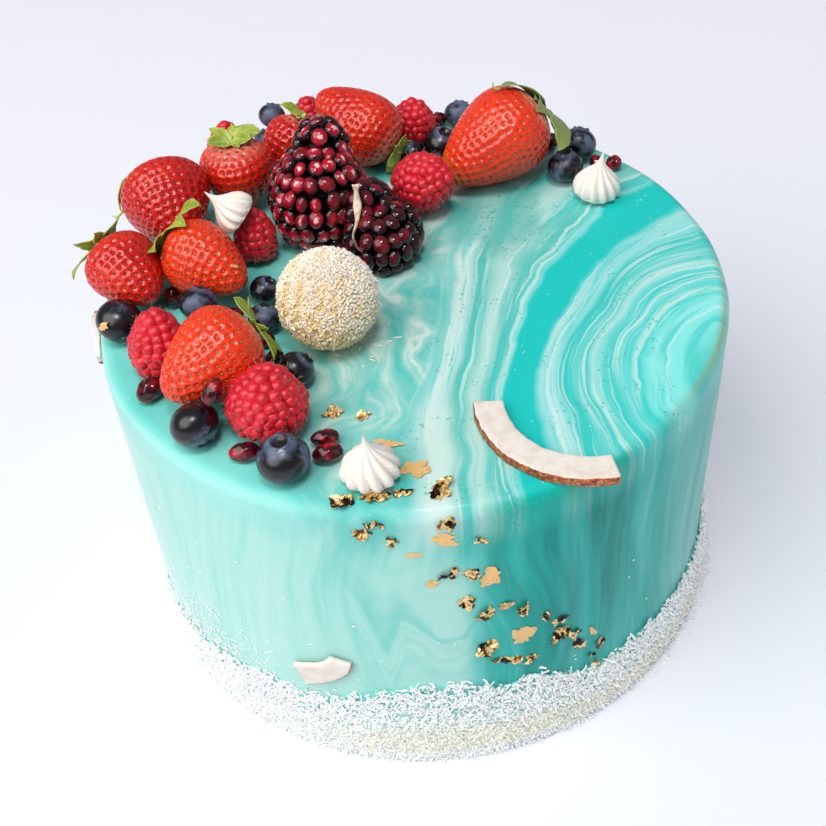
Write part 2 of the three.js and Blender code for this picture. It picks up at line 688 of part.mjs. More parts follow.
function add(name, geometry, material) {
  const mesh = new THREE.Mesh(geometry, material());
  mesh.name = name;
  cake.add(mesh);
}

function addEach(name, rows, make, material) {
  rows.forEach((row, index) => add(name + "_" + (index + 1), make(row, index), material));
}

add("cake", glazedCake(), glaze);
add("coconut_border", coconutBorder(), coconut);
addEach("strawberry", STRAWBERRIES, strawberry, strawberrySkin);
addEach("raspberry", RASPBERRIES, heapedRaspberry, raspberrySkin);
addEach("blueberry", BLUEBERRIES, blueberry, blueberrySkin);
addEach("aril", ARILS, looseAril, pomegranateSkin);
add("pomegranate_chunk", pomegranateChunk(), pomegranateSkin);
add("coconut_truffle", coconutTruffle(), truffleCoat);
addEach("meringue", MERINGUES, meringueKiss, meringue);
add("coconut_slice_top", topSlice(), coconutFlesh);
add("coconut_slice_left", leftSlice(), coconutFlesh);
add("coconut_chip", sideChip(), coconutFlesh);

export default cake;
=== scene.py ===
"""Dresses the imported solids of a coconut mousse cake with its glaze, gold leaf, fruit and toppings.

Shapes are worked out in millimetres, +Z up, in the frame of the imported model, and their meshes are in metres.
A shape is a grid of points, closed at its poles, or many copies of one small grid.
"""

import math
from collections import namedtuple

import bpy
import numpy as np
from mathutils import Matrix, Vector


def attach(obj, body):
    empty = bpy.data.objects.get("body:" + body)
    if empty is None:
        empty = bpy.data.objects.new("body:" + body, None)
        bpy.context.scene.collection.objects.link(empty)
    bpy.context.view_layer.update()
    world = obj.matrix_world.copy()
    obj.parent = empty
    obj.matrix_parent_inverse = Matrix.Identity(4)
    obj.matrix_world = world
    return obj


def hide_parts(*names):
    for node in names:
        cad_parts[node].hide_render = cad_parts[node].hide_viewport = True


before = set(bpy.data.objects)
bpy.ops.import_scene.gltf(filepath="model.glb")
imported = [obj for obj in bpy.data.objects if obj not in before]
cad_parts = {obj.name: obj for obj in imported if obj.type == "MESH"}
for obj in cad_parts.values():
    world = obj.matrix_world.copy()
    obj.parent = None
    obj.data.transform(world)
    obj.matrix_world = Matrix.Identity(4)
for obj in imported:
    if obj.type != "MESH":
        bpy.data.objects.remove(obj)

bl_info = {
    "name": "Coconut mousse cake",
    "version": (1, 0, 0),
    "blender": (4, 5, 0),
    "location": "View3D > Sidebar > Cake",
    "description": "Glaze, coconut, gold leaf and fruit round a coconut mousse cake",
    "category": "Add Mesh",
}

MM = 0.001
TURN = 2 * np.pi
UP = np.array([0.0, 0.0, 1.0])
BODY = "root"

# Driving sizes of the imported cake, and how deep a topping sinks into its glaze
CAKE_RADIUS = 90.0
CAKE_HEIGHT = 109.0
RIM_ROUNDING = 4.0
SINK = 0.25

# The lowest that a loose shred reaches
FLOOR_GAP = 0.03

# Where the photograph's camera stands, seen from the cake
FRONT = np.array([0, -0.7, 0.7])

# The camera's place and aim, its turn about its own axis, and its lens on a 36 mm wide picture of 826 pixels
CAMERA_AT = (-2.64, -278.94, 325.24)
CAMERA_AIM = (-2.64, -4.5, 60.0)
CAMERA_ROLL = -4.79
FOCAL_PIXELS = 1218.6
PICTURE_PIXELS = 826
SENSOR_WIDTH = 36.0

# The marbling on top: each level, counted from the eye of the swirl outwards, and the points that it passes
MARBLE_LEVELS = [
    (0, [(78, -34)]),
    (5, [(72, -24), (63, -36), (60, -52)]),
    (10, [(84, -10), (67, -16), (55, -32), (51, -43), (49, -56), (51, -65)]),
    (17, [(88, -2), (73, -4), (57, -18), (47, -33), (44, -42), (43, -56), (47, -68)]),
    (21, [(87, 4), (76, 2), (54, -20), (42, -38), (40, -46), (41, -59), (43, -68)]),
    (25, [(87, 15), (72, 8), (54, -12), (43, -28), (37, -41), (35, -54), (36, -67), (38, -80)]),
    (30, [(85, 24), (66, 11), (51, -5), (39, -24), (32, -40), (30, -53), (30, -64), (31, -82)]),
    (39, [(80, 40), (63, 32), (48, 12), (37, -4), (29, -23), (23, -41), (21, -51), (21, -70), (21, -86)]),
    (42, [(55, 27), (38, 6), (29, -11), (26, -21), (20, -42), (18, -49), (17, -70), (17, -87)]),
    (46, [(29, 11), (24, -5), (21, -16), (19, -27), (15, -43), (13, -50), (11, -64), (10, -79), (10, -90)]),
    (50, [(30, 31), (22, 12), (19, -4), (16, -21), (12, -38), (10, -55), (9, -72), (8, -90)]),
    (56, [(27, 48), (21, 26), (13, -1), (10, -14), (6, -35), (0, -54), (-2, -66), (-1, -78), (-2, -89)]),
    (64, [(22, 62), (8, 30), (0, 0), (-6, -30), (-12, -56), (-14, -88)]),
    (80, [(10, 88), (-14, 40), (-24, 0), (-30, -40), (-36, -80)]),
    (110, [(-40, 80), (-60, 40), (-70, 0), (-66, -40), (-60, -66)]),
    (126, [(-70, 56), (-89, 10), (-84, -30)]),
]

# How pale the side is at degrees round from +X: 0 is deep teal and 1 is nearly white. The pale stretch round
# the left, which faces the key light, is partly the glaze's own pale pour and partly painted light
SIDE_TONES = [
    (-180, 0.85), (-155, 0.9), (-135, 0.84), (-122, 0.8), (-112, 0.72), (-105, 0.64), (-99, 0.6), (-94, 0.66),
    (-90, 0.6), (-86, 0.4), (-82, 0.22), (-75, 0.12), (-66, 0.08), (-57, 0.12), (-52, 0.3), (-47, 0.2),
    (-40, 0.34), (-30, 0.4), (-12, 0.5), (10, 0.5), (35, 0.35), (60, 0.5), (90, 0.62), (125, 0.5), (150, 0.7),
    (180, 0.85),
]

# The fold in the pour at the front: degrees round, the height of its edge, and how far it fades above that
FOLD_EDGE = [
    (-107, 88, 8), (-102.4, 69.5, 22), (-99.7, 49, 34), (-96.3, 69, 12), (-90.4, 57.3, 3), (-86.6, 58, 2),
    (-83, 70, 2),
]

# Gold leaf on top: x, y, length, width, turn in degrees, crumple
TOP_FLAKES = [
    (-23, -53, 5, 3, 30, 0.9), (-15.5, -55, 4, 2.5, 0, 0.5), (-10, -65.5, 6, 3, -10, 0.2),
    (-3, -75, 7, 5, 20, 0.15), (2.5, -82.5, 6, 5, 60, 1.0), (-21.5, -84, 5, 4.5, 45, 1.0),
    (-13.5, -83, 7, 4, 10, 0.8), (-7, -82.5, 4, 3, 0, 0.6),
]

# Gold leaf on the side: degrees round from +X, height, length round the cake, width, turn, crumple
SIDE_FLAKES = [
    (-101, 102.5, 4, 3.5, 20, 0.8), (-96.5, 100, 3, 3, 0, 1.0), (-99, 106, 4, 2.5, 10, 0.8),
    (-88, 105, 4, 5, 0, 1.0), (-88.5, 99.5, 6.5, 4, -15, 0.1), (-93.5, 94.5, 3.5, 2, 0, 0.1),
    (-83, 97.5, 4, 1.8, 0, 0.7), (-91, 83, 3.5, 2.5, 0, 0.2), (-88, 86, 5, 4, 30, 0.7),
    (-84.5, 85, 5, 3, -20, 0.7), (-81.5, 82.5, 6, 6, 40, 0.2), (-85.5, 74, 5, 4, 20, 0.6),
    (-82.5, 67.5, 5, 4.5, 0, 0.8), (-79, 69.5, 3.5, 3, 30, 0.4), (-76, 66, 4, 4, 0, 1.0),
    (-72, 59.5, 3, 3, 0, 0.5), (-69, 55, 4.5, 3.5, -25, 0.6), (-76, 54.5, 5.5, 8, 15, 0.2),
    (-69, 49, 6, 5, 20, 1.0), (-66, 46, 4, 4, 0, 0.7), (-65, 40, 4, 4.5, 30, 0.6),
    (-82.5, 52.5, 6.5, 6, 0, 1.0), (-78.5, 44.5, 7, 3.5, -20, 0.8), (-74.5, 42.5, 4, 3, 0, 0.7),
    (-60, 35, 3, 4.5, 40, 0.8), (-62, 42.5, 1.6, 5, 20, 0.1), (-62, 31, 2.4, 2, 0, 0.6),
    (-61, 26, 2.2, 2, 0, 0.6),
]

# Gold leaf on the fruit: x, y, height above the glaze, where it faces, length, width, crumple
FRUIT_FLAKES = [
    (-84.2, -20.2, 8.5, (-0.48, -0.79, 0.39), 3.4, 1.8, 0.3),
    (-48.2, -7.4, 15.2, (0.6, -0.35, 0.7), 1.6, 1.0, 0.3),
]

# The height of the border's upper edge at degrees round from +X, and how many times as thick as usual it is
BORDER_EDGE = [
    (-180, 15), (-152, 16), (-136, 23), (-126, 27.5), (-112, 28), (-103, 34), (-95, 38.5), (-88, 38),
    (-80, 33.5), (-73, 35), (-66, 28), (-58, 24.5), (-41, 24), (-27, 22), (5, 27), (45, 24), (90, 28),
    (130, 22), (180, 15),
]
BORDER_HEAP = [
    (-180, 1.2), (-150, 1.1), (-120, 1), (-75, 1), (-50, 1.3), (-20, 2), (20, 1.9), (60, 1.4), (180, 1.2),
]

# The border's usual thickness at each share of its height
BORDER_THICKNESS = [(0, 1.0), (0.16, 1.5), (0.36, 1.5), (0.58, 1.3), (0.8, 1.1), (1, 0.8)]

# Each strawberry: centre above the glaze, where the tip looks, length, width, ripeness of the tip and of the
# whole, and the sepals as (degrees round, length, curl up of the end)
Berry = namedtuple("Berry", "at tip length width pale tone sepals")
STRAWBERRIES = [
    Berry((-69.7, 28.3, 13), (0.3, -0.8, -0.3), 26.5, 26.5, 0.1, 0.25,
          [(195, 17.5, 0), (130, 9, 0), (60, 9, 0), (0, 6, 0), (300, 5.5, 0), (250, 5.5, 0)]),
    Berry((-78.6, -0.7, 10.9), (0.55, -0.75, -0.2), 23.5, 21, 0.2, 0.4,
          [(212, 11, 1), (245, 8, 3.5), (296, 8, 1), (328, 10, 1), (30, 8, 0), (120, 9, 0), (165, 9, 0)]),
    Berry((-56.5, 0.3, 11.4), (0.72, -0.62, -0.12), 26.5, 21.8, 0.35, 0.8,
          [(262, 13, 2), (312, 15, 0.5), (345, 14, 1), (20, 12, 0), (140, 8, 0), (200, 9, 1)]),
    Berry((-50, 44, 11.4), (0.05, -0.1, -1), 22.5, 23, 0.2, 0.5,
          [(205, 6, 1), (255, 4.5, 0.5), (300, 4.5, 0), (335, 6, 1), (5, 7.5, 1.5), (50, 6, 2.5), (100, 6, 3),
           (150, 6, 2.5)]),
    Berry((-53.5, -43, 12.4), (-0.78, -0.6, -0.18), 28.5, 24.5, 0.45, 0.9,
          [(195, 8, 1), (165, 5, 4), (240, 4.5, 0.5), (320, 9.5, 0.5), (280, 4.5, 1.5), (10, 7, 3),
           (90, 6, 1)]),
    Berry((-13, 64.5, 14.5), (-0.75, 0.45, 0.45), 30, 23, 0.2, 0.5,
          [(60, 5.5, 2), (40, 6.5, 5), (0, 6, 3), (300, 6, 1.5), (250, 5, 1), (180, 4.5, 0.5),
           (120, 5, 0.5)]),
    Berry((28.7, 47.8, 13), (-0.85, -0.38, -0.36), 36.5, 28.4, 0.9, 0.7,
          [(198, 17.5, -0.4), (230, 9, 0), (262, 12.5, -0.4), (306, 15, 1), (350, 12, 1), (60, 10, 0),
           (120, 12, 0)]),
    Berry((-36.2, 60, 10), (-0.5, -0.35, -0.6), 21, 16, 0.2, 0.35,
          [(180, 6, 1), (120, 5, 1), (250, 4.5, 0.5), (320, 5, 0.5), (40, 5, 0.5)]),
]

# Each raspberry: centre above the glaze, where the apex looks, length, width
RASPBERRIES = [
    ((-68.3, -30.1, 10.4), (0.05, 0.15, 1), 20, 16.2), ((-38.6, -56, 9.8), (0.1, 0.25, 1), 19, 20.8),
    ((7.45, 32.7, 9.4), (0.55, -0.45, 0.3), 20, 17.6), ((5.35, 73.4, 8.2), (0.05, 0.1, 1), 15.8, 14.8),
    ((-54.5, 64, 9.6), (0, 0.1, 1), 18.4, 14.2), ((-44.25, 16.4, 8.7), (0.1, 0.1, 1), 17, 13),
    ((-28.7, 76.5, 9.4), (0.05, -0.1, 1), 18.5, 13.5),
]

# Each blueberry: centre above the glaze, radius, where the crown looks, how much bloom it has kept
BLUEBERRIES = [
    ((-81.2, -15.2, 5.9), 6.3, (-0.3, 0.3, -0.9), 0.25), ((-59, -13.8, 8.4), 5.5, (0.3, 0.5, 0.8), 0.6),
    ((-41.2, -17, 4.1), 4.6, (0.2, 0.3, 0.9), 0.35), ((-41.5, -4.5, 4.1), 4.4, (0.5, 0, 0.8), 0.35),
    ((-32, -40, 4.8), 5, (0.7, 0.2, 0.6), 0.2), ((-57.2, -59.1, 6.2), 6.4, (0.4, -0.6, -0.6), 0.25),
    ((-34.8, -73.2, 6), 6.7, (-0.05, 0.05, 1), 0.45), ((-40, 73.4, 14.2), 4.4, (0.2, 0.4, 0.9), 0.5),
    ((-43, 71, 6.4), 4.4, (-0.5, 0.4, 0.7), 0.6), ((13.5, 63, 5.1), 5.7, (0.3, -0.15, 0.9), 0.1),
    ((21, 80.5, 4.8), 5, (0.2, 0.6, 0.7), 0.6), ((51, 44, 5.1), 5.7, (-0.05, 0.15, 1), 0.3),
    ((56.8, 55.3, 5.6), 5.8, (0.3, 0.6, 0.8), 0.4), ((-6, 82.5, 4.1), 4.5, (0, 0.6, 0.8), 0.5),
    ((4, 61, 4), 4, (-0.5, 0, 0.8), 0.3),
]

# Each loose aril: centre above the glaze, where its point looks, length, width
ARILS = [
    ((-68, -3.4, 3.4), (0, 0.3, 1), 6.4, 4.6), ((-70.8, -41.8, 3.4), (0.6, 0.5, 0.3), 8, 6.4),
    ((-51.4, -57.6, 15), (0.5, 0.5, 0.7), 8, 4.8), ((-45, -66.8, 2.7), (1, 0.05, 0.05), 8.2, 5),
    ((-25, -64, 2.6), (1, 0.1, 0), 7.6, 4.6), ((-24.3, -69.6, 2.8), (1, 0.15, 0), 8, 5.2),
    ((-50.2, -12.5, 2.3), (1, 0.3, 0.1), 6, 4.2), ((-41, -24.2, 2.2), (1, 0, 0.1), 5.6, 4.2),
    ((-38.5, -32, 2.3), (0.7, 0.4, 0.2), 6, 4.4), ((14, 82.5, 2.5), (1, 0.2, 0.1), 5.6, 4.6),
    ((49, 62.5, 2.7), (0.4, 0.6, 0.4), 6, 4.8), ((61.5, 48.6, 2.5), (0.2, 1, 0.1), 5.4, 4.6),
    ((66.8, 47.5, 2.5), (0.8, 0.4, 0.1), 5.4, 4.6), ((-69.5, 15, 4.5), (0.5, 0.3, 0.6), 6, 4.2),
]

# The lobes of the pomegranate chunk: centre above the glaze, half sizes, lean in degrees about X
LOBES = [
    ((-25.1, 27.7, 12), (13.2, 14.6, 15.6), -8),
    ((-23, 34, 24), (7, 7.5, 9), 0),
    ((-24, 31.5, 20), (9.6, 9.6, 8), 0),
    ((-7.2, 14.2, 6.4), (10.2, 12.6, 8.2), 0),
    ((-12, 21.2, 10.2), (8.2, 9.8, 8.8), 0),
]

# The truffle's centre above the glaze, and its radius
TRUFFLE_AT = (-22.8, -23.2, 13.7)
TRUFFLE_RADIUS = 13.5

# Each meringue: middle of the base above the glaze, where the tip looks, radius, height
MERINGUES = [
    ((-13.8, -76.6, 0.8), (-0.06, 0.03, 1), 7.6, 14),
    ((-46.5, 13.4, 17.1), (-0.75, 0.1, 0.65), 6.5, 13),
    ((58.8, 33.7, 0.9), (0.12, 0.02, 1), 7.4, 14.6),
]

# Where the random numbers of each kind of piece start
SEEDS = {
    "gold": 7, "border": 11, "pomegranate": 23, "truffle": 31, "strawberry": 100, "raspberry": 200,
    "blueberry": 300, "meringue": 400,
}


# Shapes

# Points, faces, the number of each face's finish, and what a finish reads at each point: a shade and a flow
Shape = namedtuple("Shape", "points faces kinds shade flow")


def drawing(kind, number=0):
    """The random numbers of one piece, the same in every run."""
    return np.random.default_rng(SEEDS[kind] + number)


def shape(points, faces, kind=0, shade=0.5, flow=None):
    """Points (n, 3) and faces (m, 4), with -1 last in a triangle, one finish number, a shade and a flow."""
    points = np.asarray(points, float).reshape(-1, 3)
    shades = np.broadcast_to(np.asarray(shade, float), (len(points),)).copy()
    flows = np.zeros((len(points), 3)) if flow is None else np.asarray(flow, float).reshape(-1, 3)
    return Shape(points, faces, np.full(len(faces), kind), shades, flows)


def merged(shapes):
    """Several shapes as one, the faces of each counted on from the points before it."""
    starts = np.cumsum([0] + [len(one.points) for one in shapes[:-1]])
    faces = [np.where(one.faces < 0, -1, one.faces + start) for one, start in zip(shapes, starts)]
    points, _, *rest = (np.concatenate(parts) for parts in zip(*shapes))
    return Shape(points, np.concatenate(faces), *rest)


def unit(vectors):
    """Each vector over its length."""
    vectors = np.asarray(vectors, float)
    return vectors / np.maximum(np.linalg.norm(vectors, axis=-1, keepdims=True), 1e-9)


def between(value, low, high):
    """How far a value has come from low to high, as a share from 0 to 1."""
    return np.clip((value - low) / (high - low), 0, 1)


def wrapped(angle):
    """An angle round the cake, in degrees from -180 to 180."""
    return np.degrees((angle + np.pi) % TURN - np.pi)


def looked_up(place, rows, column=1):
    """A value read from rows of (place, value, ...) by straight lines between them."""
    table = np.array(rows, float)
    return np.interp(place, table[:, 0], table[:, column])


def walk(radius, height):
    """How far along a profile each of its points lies."""
    return np.concatenate([[0], np.cumsum(np.hypot(np.diff(radius), np.diff(height)))])


def curved(knots, number, rounds):
    """Points laid evenly on the lines between knots. In each round, each point moves to the mean of its
    neighbours and twice itself, which rounds the corners."""
    knots = np.array(knots, float)
    share, place = np.linspace(0, 1, number), np.linspace(0, 1, len(knots))
    line = np.stack([np.interp(share, place, values) for values in knots.T], -1)
    for _ in range(rounds):
        line[1:-1] = (line[:-2] + 2 * line[1:-1] + line[2:]) / 4
    return line


def staggered(row, number, wander, draw):
    """Angles an even way round, but for a random wander, with every other row offset by half a step."""
    return (np.arange(number) + 0.5 * (row % 2)) / number * TURN + draw.normal(0, wander, number)


def turn_to(direction, spin=0.0):
    """The shortest turn of +Z to each direction, after a spin about +Z.

    With K the cross matrix of +Z and the direction, the turn is identity + K + K squared / (1 + cosine)."""
    d = unit(np.atleast_2d(direction))
    k = np.zeros((len(d), 3, 3))
    k[:, :2, 2], k[:, 2, :2] = d[:, :2], -d[:, :2]
    turn = np.eye(3) + k + k @ k / (1 + np.maximum(d[:, 2], -0.999))[:, None, None]
    about = np.tile(np.eye(3), (len(d), 1, 1))
    about[:, 0, 0] = about[:, 1, 1] = np.cos(spin)
    about[:, 1, 0] = np.sin(spin)
    about[:, 0, 1] = -about[:, 1, 0]
    return turn @ about


def leaning(degrees):
    """A turn about X."""
    cos, sin = math.cos(math.radians(degrees)), math.sin(math.radians(degrees))
    return np.array([[1, 0, 0], [0, cos, -sin], [0, sin, cos]])


def placed(one, at, direction, spin=0.0):
    """A shape turned so that its +Z looks along a direction, and set in place."""
    return one._replace(points=one.points @ turn_to(direction, spin)[0].T + np.asarray(at, float))


def above(at):
    """A place whose height is counted from the top of the cake."""
    return np.array([at[0], at[1], at[2] + CAKE_HEIGHT])


def kept_above(one, floor):
    """Flattens what would reach below a floor."""
    points = one.points.copy()
    points[:, 2] = np.maximum(points[:, 2], floor)
    return one._replace(points=points)


def rested(one):
    """Lifts a shape so that its lowest point is just sunk into the glaze, if it lies lower."""
    lift = CAKE_HEIGHT - SINK - one.points[:, 2].min()
    return one._replace(points=one.points + UP * max(lift, 0.0))


def ball_faces(rings, columns):
    """Quads between rings of points, top ring first and anticlockwise, and triangles to the two poles."""
    ring = np.arange(rings - 1)[:, None] * columns
    here = np.arange(columns)[None, :]
    after = (here + 1) % columns
    quads = np.stack([ring + here, ring + columns + here, ring + columns + after, ring + after], -1)
    top, foot = rings * columns, rings * columns + 1
    last = (rings - 1) * columns
    step, turn = here[0], after[0]
    none = np.full(columns, -1)
    cap = np.stack([np.full(columns, top), step, turn, none], -1)
    base = np.stack([np.full(columns, foot), last + turn, last + step, none], -1)
    return np.concatenate([quads.reshape(-1, 4), cap, base])


def ball(rings, columns, rule, **more):
    """A closed ball whose points are rule(down, angle), with down from 0 at the top pole to 1 at the foot."""
    down, angle = np.broadcast_arrays((np.arange(1, rings + 1) / (rings + 1))[:, None],
                                      (np.arange(columns) / columns * TURN)[None, :])
    ends = [rule(np.array([[fraction]]), np.array([[0.0]]))[0] for fraction in (0.0, 1.0)]
    points = np.concatenate([rule(down, angle).reshape(-1, 3)] + ends)
    flow = np.stack([np.append(angle, (0, 0)), np.append(down, (0, 1)), np.zeros(len(points))], -1)
    return shape(points, ball_faces(rings, columns), flow=flow, **more)


def grid_faces(index):
    """Quads between the points of a grid, given by their numbers."""
    return np.stack([index[:-1, :-1], index[1:, :-1], index[1:, 1:], index[:-1, 1:]], -1).reshape(-1, 4)


def round_points(radius, angle, height):
    """Points given by their distance from the upright axis, their angle and their height."""
    return np.stack([radius * np.cos(angle), radius * np.sin(angle), height + 0 * angle], -1)


def round_ball(down, angle):
    """The ball of radius 1."""
    return round_points(np.sin(np.pi * down), angle, np.cos(np.pi * down))


def swept(sections, **more):
    """Closed sections (n, k, 3) joined one after another, with each end closed to its middle."""
    count, sides = sections.shape[:2]
    points = np.concatenate([sections.reshape(-1, 3), sections[:1].mean(1), sections[-1:].mean(1)])
    return shape(points, ball_faces(count, sides), **more)


def tube(path, radius, sides=6, **more):
    """A round section carried along a path, its sides turned clockwise about the direction of travel."""
    path = np.asarray(path, float)
    travel = unit(np.gradient(path, axis=0))
    guide = np.where(np.abs(travel[:, 2:3]) < 0.9, UP, np.array([1.0, 0, 0]))
    first = unit(np.cross(travel, guide))
    second = np.cross(first, travel)
    angle = np.arange(sides) / sides * TURN
    reach = np.broadcast_to(np.asarray(radius, float), (len(path),))[:, None, None]
    spokes = np.cos(angle)[None, :, None] * first[:, None] + np.sin(angle)[None, :, None] * second[:, None]
    return swept(path[:, None] + reach * spokes, **more)


def shell(grid, thickness, flow=None, **more):
    """A sheet of points (rows, columns, 3) given a thickness along its normals and a wall round its edge."""
    rows, columns = grid.shape[:2]
    normal = unit(np.cross(np.gradient(grid, axis=0), np.gradient(grid, axis=1)))
    half = np.broadcast_to(np.asarray(thickness, float) / 2, (rows, columns))[..., None]
    points = np.concatenate([(grid + normal * half).reshape(-1, 3), (grid - normal * half).reshape(-1, 3)])
    index = np.arange(rows * columns).reshape(rows, columns)
    top = grid_faces(index)
    under = top[:, ::-1] + rows * columns
    edge = np.concatenate([index[:-1, 0], index[-1, :-1], index[:0:-1, -1], index[0, :0:-1]])
    ahead = np.roll(edge, -1)
    wall = np.stack([edge, edge + rows * columns, ahead + rows * columns, ahead], -1)
    both = None if flow is None else np.concatenate([flow.reshape(-1, 3)] * 2)
    return shape(points, np.concatenate([top, under, wall]), flow=both, **more)


def copies(one, at, turns, scale=1.0, shade=None):
    """A small shape set at each place (n, 3), turned by (n, 3, 3) and scaled by a number, (n,) or (n, 3)."""
    number = len(at)
    size = np.asarray(scale, float)
    size = np.broadcast_to(size[:, None] if size.ndim == 1 else size, (number, 3))
    points = np.einsum("nij,nkj->nki", turns, one.points[None] * size[:, None, :]) + at[:, None]
    starts = (np.arange(number) * len(one.points))[:, None, None]
    faces = np.where(one.faces[None] < 0, -1, one.faces[None] + starts)
    shades = np.tile(one.shade, number) if shade is None else np.repeat(shade, len(one.points))
    return Shape(points.reshape(-1, 3), faces.reshape(-1, 4), np.tile(one.kinds, number), shades,
                 np.tile(one.flow, (number, 1)))


def waves(points, pitch, seed, octaves=3):
    """Smooth unevenness about 0: sines of the place along random ways, finer and weaker in each octave."""
    draw = np.random.default_rng(seed)
    total, weight = np.zeros(points.shape[:-1]), 0.0
    for octave in range(octaves):
        share = 0.6 ** octave
        for _ in range(5):
            direction = unit(draw.normal(size=3)) * TURN / pitch * 1.9 ** octave
            total += share * np.sin(points @ direction + draw.uniform(0, TURN))
        weight += share * 2.2
    return total / weight


# Meshes and objects


def new_object(name, data):
    """An object in the scene, with a mesh, a light or a camera in it."""
    made = bpy.data.objects.new(name, data)
    bpy.context.scene.collection.objects.link(made)
    return made


def new_piece(one, name, materials, nodes=(), sharp=None, more=None):
    """Puts a shape into a mesh, in metres, gives it its finishes and lets it ride on the cake's one body."""
    sides = np.where(one.faces[:, 3] < 0, 3, 4)
    corners = one.faces[one.faces >= 0]
    mesh = bpy.data.meshes.new(name)
    mesh.vertices.add(len(one.points))
    mesh.vertices.foreach_set("co", (one.points * MM).astype(np.float32).ravel())
    mesh.loops.add(len(corners))
    mesh.loops.foreach_set("vertex_index", corners.astype(np.int32))
    mesh.polygons.add(len(one.faces))
    mesh.polygons.foreach_set("loop_start", (np.cumsum(sides) - sides).astype(np.int32))
    mesh.polygons.foreach_set("material_index", one.kinds.astype(np.int32))
    mesh.update(calc_edges=True)
    mesh.validate()
    shade = mesh.attributes.new("shade", "FLOAT", "POINT")
    shade.data.foreach_set("value", one.shade.astype(np.float32))
    for title, values in {"flow": one.flow, **(more or {})}.items():
        layer = mesh.attributes.new(title, "FLOAT_VECTOR", "POINT")
        layer.data.foreach_set("vector", values.astype(np.float32).ravel())
    mesh.shade_smooth()
    if sharp is not None:
        mesh.set_sharp_from_angle(angle=math.radians(sharp))
    for material in materials:
        mesh.materials.append(material)
    piece = new_object(name, mesh)
    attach(piece, BODY)
    if nodes:
        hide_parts(*nodes)


def new_pieces(rows, family, ending, materials, make):
    """One piece resting on the cake for each row of a table, shaped by make(row, number) and standing for the
    node of the family that has its number."""
    for number, row in enumerate(rows, 1):
        node = f"{family}_{number}"
        new_piece(rested(make(row, number)), f"{node}_{ending}", materials, [node])


# Finishes


# The numbers of the share and the two colours among the sockets of Blender's mix node
MIX_SOCKETS = (0, 6, 7)


def linear(colour):
    """A colour written as six hex digits, as the light it sends back. Any other colour passes through."""
    if not isinstance(colour, str):
        return tuple(colour)
    parts = [int(colour[place : place + 2], 16) / 255 for place in (0, 2, 4)]
    return (*[part / 12.92 if part <= 0.04045 else ((part + 0.055) / 1.055) ** 2.4 for part in parts], 1.0)


